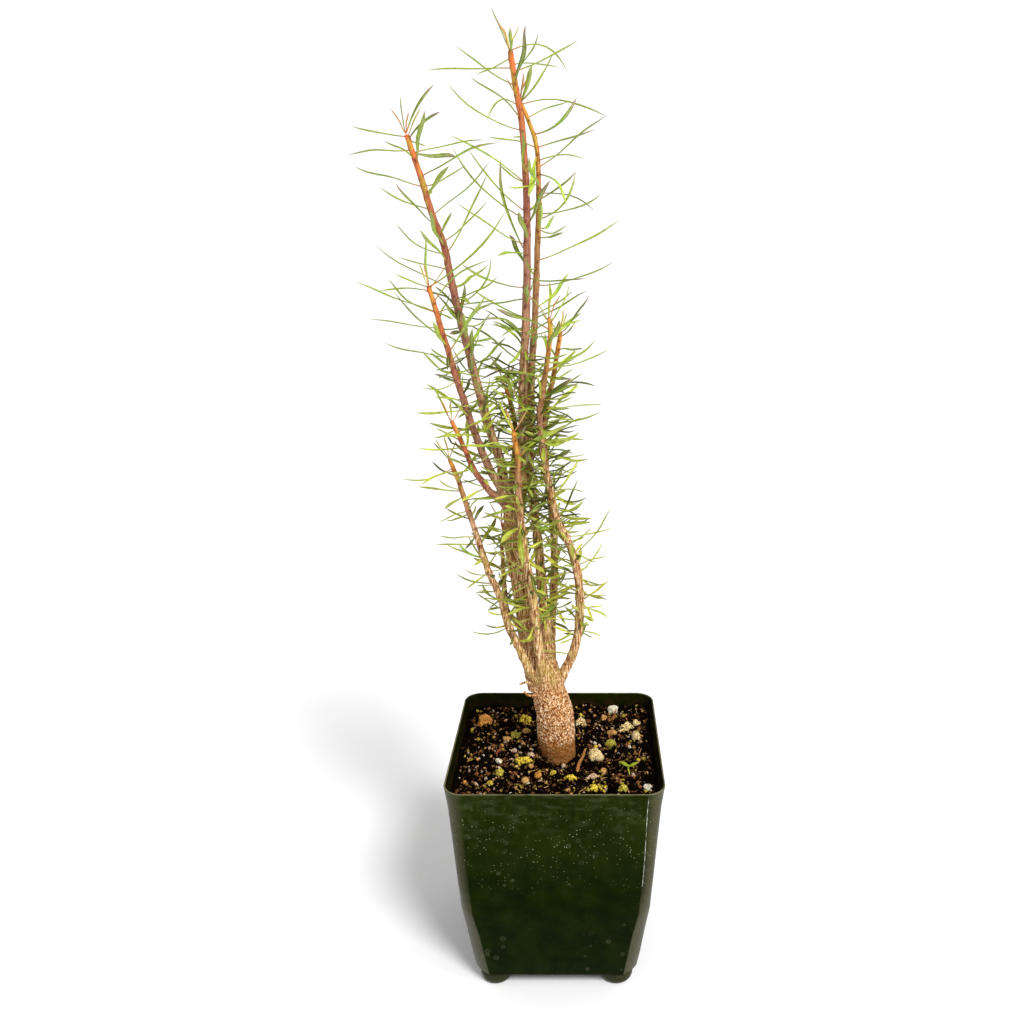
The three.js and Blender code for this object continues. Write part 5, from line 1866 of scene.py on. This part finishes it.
@dataclass
class LeafBlades:
    """The leaves of one stem: narrow blades folded along their midrib.

    Along a leaf from root to tip, the middle line is the leaf's curve, and the half width is the leaf's width
    times a share that is slim at the root, full past the middle, and runs to a point. Across it, four points
    stand: both edges, the rib above, sunk by the fold, and the rib below, lower by the thickness. The blade
    rolls about its line by a twist that grows towards the tip, and sways a little from side to side. No point
    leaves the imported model's box.
    """

    finish: LeafSkin
    stations: tuple[float, ...] = (0, 0.05, 0.13, 0.26, 0.4, 0.54, 0.67, 0.79, 0.89, 0.96, 1)
    shares: tuple[float, ...] = (0.42, 0.38, 0.42, 0.58, 0.78, 0.94, 1.0, 0.9, 0.6, 0.28, 0.03)
    slim: dict[Round, float] = field(default_factory=lambda: {
        Round.SEEN: 0.8, Round.YOUNG: 0.55, Round.RULED: 0.82, Round.FILLING: 0.9})
    roll: dict[Round, float] = field(default_factory=lambda: {
        Round.SEEN: 10, Round.YOUNG: 10, Round.RULED: 20, Round.FILLING: 24})
    fold: float = 0.34
    thickness: float = 0.26
    sway: float = 0.11
    shaded: float = 0.36
    shade: float = 0.85
    inset: float = 0.01

    def blades(self, leaves: Sequence[Leaf], seed: int) -> tuple[Array, Faces, dict[str, Array]]:
        """Works the blades out.

        Args:
            leaves: The leaves.
            seed: Seed of their rolls, twists and numbers.

        Returns:
            The points, the faces, and for each point its share of the length, the leaf's own number, and how
            far it is the underside and in deep shade.
        """
        rng = np.random.default_rng(seed)
        count, rows = len(leaves), len(self.stations)
        lines = np.array([(leaf.root, leaf.bend, leaf.tip) for leaf in leaves])
        root, bend, tip = lines.transpose(1, 0, 2)[:, :, None]
        t = np.array(self.stations)[None, :, None]
        middle = (1 - t) ** 2 * root + 2 * t * (1 - t) * bend + t * t * tip
        along = unit((1 - t) * (bend - root) + t * (tip - bend))
        way = np.radians([leaf.turn for leaf in leaves])
        side = np.stack([-np.sin(way), np.cos(way), 0 * way], axis=-1)[:, None]
        up = np.cross(along, side)
        roll = np.array([self.roll[leaf.round] for leaf in leaves])
        twist = np.radians(rng.normal(0, 1, count) * roll)[:, None, None]
        twist = twist + np.radians(rng.normal(0, 2.2, count) * roll)[:, None, None] * t**1.5
        aside = side * np.cos(twist) + up * np.sin(twist)
        above = up * np.cos(twist) - side * np.sin(twist)
        width = np.array([leaf.width * self.slim[leaf.round] for leaf in leaves])[:, None, None]
        share = np.array(self.shares)[None, :, None]
        half = width * share / 2
        reach = np.linalg.norm(tip - root, axis=-1, keepdims=True)
        sway = np.sin(t * 5.5 + rng.uniform(0, 6.3, count)[:, None, None]) * t * (1 - t) * self.sway
        middle = middle + (aside + 0.6 * above) * sway * reach
        thick = self.thickness * np.where(t < 0.3, 1.0, np.clip(share, 0.12, 1))
        rib = middle - above * self.fold * half
        corners = [middle + aside * half, rib, middle - aside * half, rib - above * thick]
        low, high = np.array(CAD_BOX) / METRES
        points = np.clip(np.stack(corners, axis=2), low + self.inset, high - self.inset)
        ones = np.ones((count, rows, 4))
        fine = np.array([leaf.round is Round.FILLING for leaf in leaves])
        own = np.clip(rng.normal(0.58, 0.34, count), 0, 1)[:, None, None] * ones
        deep = (self.shade * fine * (rng.random(count) < self.shaded))[:, None, None] * ones
        under = np.broadcast_to(np.array([0.4, 0.0, 0.4, 1.0]), ones.shape)
        traits = {"along": t * ones, "own": own, "under": under, "deep": deep}
        return points, grid_faces(rows, 4, count), traits


@dataclass
class LeafyStem:
    """One stem: its wood with leaf scars, and its leaves."""

    plan: StemPlan
    number: int
    leaves: list[Leaf]
    skin: StemSkin
    blades: LeafBlades
    step: float = 0.7
    sides: int = 20
    scar_spacing: float = 2.1
    scar_reach: float = 0.62
    dot_reach: float = 0.5
    foot_swell: float = 0.18
    tip_length: float = 1.6
    yellow_from: float = 235.0
    yellow_over: float = 100.0
    yellowed: float = 0.8

    def centre(self) -> tuple[Array, Array]:
        """The line from inside the trunk, through the collar, to the tip, and the radius along it.

        Returns:
            Points a fixed step apart, and the radius at each.
        """
        plan = self.plan
        line = (*plan.collar, *plan.line)
        fine = smooth_line(line, np.linspace(0, 1, 600))
        walk = np.concatenate([[0], np.cumsum(np.linalg.norm(np.diff(fine, axis=0), axis=1))])
        places = np.arange(0, walk[-1], self.step)
        path = np.stack([np.interp(places, walk, fine[:, axis]) for axis in range(3)], axis=-1)
        foot = walk[int(np.argmin(np.linalg.norm(fine - np.array(plan.line[0]), axis=1)))]
        share = np.clip((places - foot) / (walk[-1] - foot), 0, 1)
        radius = plan.radius[0] * (1 - share) + plan.radius[1] * share
        radius = radius * (1 + self.foot_swell * np.clip(1 - places / max(foot, TINY), 0, 1))
        end = np.clip((walk[-1] - places) / self.tip_length, 0, 1)
        return path, radius * (0.35 + 0.65 * np.sqrt(end))

    def scars(self, path: Array, radius: Array, rng: np.random.Generator) -> Array:
        """Places of the leaf scars on the skin: at each leaf, and a golden turn apart all along.

        Args:
            path: Points along the stem's middle.
            radius: The stem's radius at each.
            rng: Where the turns' small errors come from.

        Returns:
            One place a row.
        """
        extra = np.arange(0, len(path) * self.step, self.scar_spacing)
        rows = np.minimum((extra / self.step).astype(int), len(path) - 1)
        turns = np.arange(len(extra)) * GOLDEN_TURN + rng.normal(0, 12, len(extra))
        roots = np.array([leaf.root for leaf in self.leaves] + list(path[rows]))
        ways = np.radians([leaf.turn for leaf in self.leaves] + list(turns))
        nearest = np.argmin(np.linalg.norm(roots[:, None] - path[None], axis=-1), axis=1)
        out = np.stack([np.cos(ways), np.sin(ways), 0 * ways], axis=-1)
        return roots + out * radius[nearest][:, None]

    def wood(self) -> None:
        """The stem's skin: a tube that swells at each scar, is lightly ridged, and is rough below."""
        rng = np.random.default_rng(900 + self.number)
        path, radius = self.centre()
        rings = tube_rings(path, radius, self.sides)
        places = self.scars(path, radius, rng)
        away = np.linalg.norm(rings.reshape(-1, 1, 3) - places[None], axis=-1)
        scar, dot = (np.exp(-(away / reach) ** 2).max(axis=1).reshape(rings.shape[:2])
                     for reach in (self.scar_reach, self.dot_reach))
        ridge = layered(rings * np.array([1, 1, 0.16]), 0.7, 40 + self.number, 2)
        out = unit(rings - path[:, None])
        aged = np.clip((path[-1, 2] - path[:, 2]) / self.plan.fade, 0, 1)[:, None] * np.ones(self.sides)
        lift = 0.16 * scar + (0.03 + 0.15 * aged) * ridge
        points = rings + out * (lift * np.minimum(1, radius[:, None]))[..., None]
        faces = grid_faces(len(path), self.sides)
        wood = linked(f"{self.plan.name}_wood", points, faces)
        dress(wood, self.skin, self.plan.name, {"scar": dot, "aged": aged})

    def foliage(self) -> None:
        """The stem's leaves, yellower the lower they stand, and fresh coloured round the tip."""
        points, faces, traits = self.blades.blades(self.leaves, 300 + self.number)
        heights = np.array([leaf.root[2] for leaf in self.leaves])
        fresh = np.array([leaf.round is Round.YOUNG for leaf in self.leaves]) * 1.0
        aged = self.yellowed * np.clip((self.yellow_from - heights) / self.yellow_over, 0, 1)
        for trait, values in (("aged", aged), ("fresh", fresh)):
            traits[trait] = values[:, None, None] * np.ones(points.shape[:3])
        leaves = linked(f"{self.plan.name}_leaves", points, faces)
        dress(leaves, self.blades.finish, self.plan.name, traits, 50.0)

    def build(self) -> None:
        """Builds the wood and the leaves."""
        self.wood()
        self.foliage()


@dataclass
class Trunk:
    """The corky trunk with the thick left limb, the stems' swollen feet, dry twigs and a tiny shoot."""

    finish: Bark
    plans: tuple[StemPlan, ...]
    line: Run = (
        (0.9, -2.5, 62.3, 5.8), (0.9, -2.5, 72, 6), (0.8, -2.5, 78, 6.2), (0, -2.5, 84, 6.8),
        (-0.7, -2.5, 94, 6.75), (-2.4, -2.5, 102, 6.05), (-3.6, -2.3, 109, 5.4), (-4.3, -2.1, 114, 4.5),
        (-4.6, -2, 117.5, 2.6),
    )
    limb: Run = (
        (-6.2, -2.2, 104, 4.2), (-9.3, -2, 118, 3.4), (-11.3, -1.7, 133, 3), (-12.7, -1.5, 142, 2.7),
        (-14.6, -1.2, 152, 2.5), (-15.8, -1, 160, 2.3), (-15.6, -1, 168, 2.2), (-15.6, -1, 174, 2),
        (-15.7, -1, 177, 1.2),
    )
    twigs: tuple[Run, ...] = (
        ((-6.5, -5, 106, 0.7), (-10.4, -7.2, 108.5, 0.5), (-13, -8, 108, 0.35)),
        ((-6, -5.5, 103, 0.7), (-9.3, -8, 103.6, 0.45), (-11.2, -8.6, 105.4, 0.35)),
        ((-14.6, -2.2, 149, 0.8), (-14.8, -4.4, 153, 0.7), (-16.6, -5, 158, 0.4)),
    )
    voxel: float = 0.27
    grain: float = 0.9
    relief: float = 0.42

    def feet(self) -> list[Run]:
        """For each stem, a short run along its collar that swells out of the wood and sinks into the stem."""
        found = []
        for plan in self.plans:
            low, high = (np.array(p, dtype=float) for p in plan.collar)
            girth = plan.radius[0]
            start = low - (high - low) * 0.15
            stop = high + (np.array(plan.line[0], dtype=float) - high) * 0.3
            found.append(((*start, girth * 1.6), (*((low + high) / 2), girth * 1.35), (*high, girth * 1.1),
                          (*stop, girth * 0.72)))
        return found

    def merged(self) -> bpy.types.Object:
        """The tubes melted into one skin by remeshing them on a grid, then smoothed."""
        tubes = [tube_through(self.line, 40, 60), tube_through(self.limb, 24, 90)]
        tubes += [tube_through(foot, 16, 24) for foot in self.feet()]
        points, faces = np.zeros((0, 3)), []
        for rings in tubes:
            skin = grid_faces(*rings.shape[:2])
            faces += [tuple(corner + len(points) for corner in face) for face in skin]
            points = np.concatenate([points, rings.reshape(-1, 3)])
        bark = linked("trunk_bark", points, faces)
        remesh = bark.modifiers.new("melt", "REMESH")
        remesh.mode = "VOXEL"
        remesh.voxel_size = self.voxel * METRES
        soften = bark.modifiers.new("soften", "SMOOTH")
        soften.iterations = 9
        return baked(bark)

    def build(self) -> None:
        """Melts the wood together, raises its grains and adds the twigs."""
        bark = self.merged()
        mesh = bark.data
        flat = np.zeros(len(mesh.vertices) * 3, dtype=np.float32)
        mesh.vertices.foreach_get("co", flat)
        points = flat.reshape(-1, 3).astype(float) / METRES
        mesh.vertices.foreach_get("normal", flat)
        normals = flat.reshape(-1, 3).astype(float)
        dome, own = grains(points * np.array([1, 1, 0.8]), self.grain, 61)
        bare = np.clip((points[:, 2] - 82) / 5, 0, 1)
        old = np.clip((points[:, 2] - 106) / 10, 0, 1)
        ridge = layered(points * np.array([1, 1, 0.14]), 0.8, 64, 2)
        relief = self.relief * (0.25 + 0.75 * bare) * (1 - 0.85 * old)
        bumps = relief * (dome * (0.4 + 0.6 * own) - 0.3)
        lift = bumps + 0.22 * layered(points, 3.2, 62) + 0.2 * old * ridge
        moved = points + normals * lift[:, None]
        mesh.vertices.foreach_set("co", (moved * METRES).astype(np.float32).ravel())
        dress(bark, self.finish, "trunk", {"height": dome, "own": own})
        rows, sides = 18, 8
        rings = np.stack([tube_through(twig, sides, rows) for twig in self.twigs])
        rings = rings + 0.08 * waves(rings, 0.8, 63)[..., None]
        twigs = linked("trunk_twigs", rings, grid_faces(rows, sides, len(rings)))
        dress(twigs, self.finish, "trunk", even(rings.shape[:-1], height=0.1, own=0.1))


@dataclass
class Seedling:
    """The small weed: a thin stalk with two seed leaves."""

    leaf: LeafSkin
    place: tuple[float, float] = (26.2, -17.5)
    foot: float = 72.0
    top: float = 81.2
    radius: float = 0.3
    length: float = 3.1
    width: float = 1.7

    def build(self) -> None:
        """Builds the stalk as a tube and each seed leaf as an oval shell."""
        x, y = self.place
        rows, sides = 26, 10
        line = [(x, y, self.foot), (x + 0.1, y, 77.5), (x - 0.3, y + 0.2, 79.6), (x, y, self.top)]
        path = smooth_line(line, np.linspace(0, 1, rows))
        rings = tube_rings(path, np.full(rows, self.radius) * np.linspace(1.1, 0.75, rows), sides)
        stalk = linked("seedling_stalk", rings, grid_faces(rows, sides))
        traits = even(rows * sides, along=0.3, own=0.5, under=0.3, aged=1, fresh=0, deep=0)
        dress(stalk, self.leaf, "seedling", traits)
        rows, sides = 15, 12
        t = np.linspace(0, 1, rows)[None, :, None]
        ring = once_round(sides)[None, None, :]
        way = np.radians([150.0, 20.0])[:, None, None]
        half = self.width / 2 * np.sqrt(np.clip(np.sin(np.pi * np.clip(t * 0.93 + 0.05, 0, 1)), 0.01, 1))
        across, lift = half * np.cos(ring), 0.22 * np.sin(ring) * np.clip(half, 0.1, 1)
        reach = 0.2 + t * self.length + 0 * ring
        height = self.top - 0.5 + 0.9 * np.sin(t * 1.6) + lift - 0.12 * np.abs(across)
        points = points_of(
            x + reach * np.cos(way) - across * np.sin(way),
            y + reach * np.sin(way) + across * np.cos(way),
            height)
        leaves = linked("seedling_leaves", points, grid_faces(rows, sides, len(points)))
        traits = even(points.shape[:-1], along=0.45, own=0.3, under=0.3, aged=0.1, fresh=0, deep=0)
        dress(leaves, self.leaf, "seedling", traits, 60.0)


# Studio


@dataclass
class Studio:
    """The pale floor, the white sky, the soft lights and the camera."""

    floor_finish: PaleFloor
    floor_level: float = -4.5
    floor_reach: float = 30000.0
    camera_place: Point = (10.2, -330.1, 265.3)
    pitch: float = 16.1
    lens: float = 34.66
    sensor: float = 36.0
    shift: float = -0.0705
    clip: tuple[float, float] = (0.01, 100.0)
    sky_light: float = 0.62
    sky_seen: float = 1.1
    sun_power: float = 2.6
    sun_softness: float = 16.0
    sun_turn: Point = (36.0, 26.0, 0.0)
    side_place: Point = (750.0, -450.0, 450.0)
    side_aim: Point = (0.0, 0.0, 160.0)
    side_size: float = 0.2
    side_power: float = 2.0

    def floor(self) -> None:
        """One large flat face."""
        flat = np.array([[-1, -1], [1, -1], [1, 1], [-1, 1]]) * self.floor_reach
        points = np.column_stack([flat, np.full(len(flat), self.floor_level)])
        floor = linked("floor", points, [(0, 1, 2, 3)])
        floor.data.materials.append(self.floor_finish.material())

    @staticmethod
    def stand(data: bpy.types.ID, place: Point, turn: Point) -> bpy.types.Object:
        """Stands a light or a camera in the scene.

        Args:
            data: The light's or the camera's data, whose name it takes.
            place: Where it stands, in millimetres.
            turn: Its turns about X, Y and Z in degrees.

        Returns:
            The object.
        """
        thing = bpy.data.objects.new(data.name, data)
        thing.location = tuple(v * METRES for v in place)
        thing.rotation_euler = tuple(math.radians(v) for v in turn)
        bpy.context.scene.collection.objects.link(thing)
        return thing

    def sky(self) -> bpy.types.World:
        """A white world that lights less than the camera sees of it."""
        world = bpy.data.worlds.new("studio")
        wiring = Wiring(world)
        background = wiring.tree.nodes["Background"].inputs
        seen = wiring.add("ShaderNodeLightPath", output="Is Camera Ray")
        level = wiring.add("ShaderNodeMapRange", None,
                           {"Value": seen, "To Min": self.sky_light, "To Max": self.sky_seen})
        wiring.give(background["Color"], (1, 1, 1))
        wiring.give(background["Strength"], level)
        return world

    def build(self) -> None:
        """Sets up the floor, the world, the lights and the camera."""
        scene = bpy.context.scene
        self.floor()
        scene.world = self.sky()
        sun = bpy.data.lights.new("sun", "SUN")
        sun.energy = self.sun_power
        sun.angle = math.radians(self.sun_softness)
        self.stand(sun, (0, 0, 0), self.sun_turn)
        side = bpy.data.lights.new("side", "AREA")
        side.size = self.side_size
        side.energy = self.side_power
        toward = np.array(self.side_aim) - np.array(self.side_place)
        rise = math.atan2(toward[2], math.hypot(toward[0], toward[1]))
        turn = math.atan2(-toward[0], toward[1])
        self.stand(side, self.side_place, (90 + math.degrees(rise), 0, math.degrees(turn)))
        data = bpy.data.cameras.new("camera")
        data.lens = self.lens
        data.sensor_width = self.sensor
        data.shift_x = self.shift
        data.clip_start, data.clip_end = self.clip
        scene.camera = self.stand(data, self.camera_place, (90 - self.pitch, 0, 0))
        scene.view_settings.view_transform = "Standard"


def main() -> None:
    """Builds the studio and every piece of the potted plant."""
    logging.basicConfig(level=logging.INFO, format="%(name)s: %(message)s")
    Studio(PaleFloor()).build()
    leaf_skin = LeafSkin()
    pot = NurseryPot(PotPlastic())
    trunk = Trunk(Bark(), STEM_PLANS)
    pot.build()
    SoilMix(pot, Peat(), Mineral()).build()
    trunk.build()
    placing = Placing(STEM_PLANS)
    placing.prepare([trunk.line[3:], trunk.limb, *trunk.twigs])
    placing.place()
    skins = {tone: StemSkin(f"stem_skin_{tone.value}", tone) for tone in Tone}
    for number, plan in enumerate(STEM_PLANS):
        LeafyStem(plan, number, placing.leaves[number], skins[plan.tone], LeafBlades(leaf_skin)).build()
    Seedling(leaf_skin).build()
    logger.info("%d leaves", sum(len(leaves) for leaves in placing.leaves))


if __name__ == "__main__":
    main()
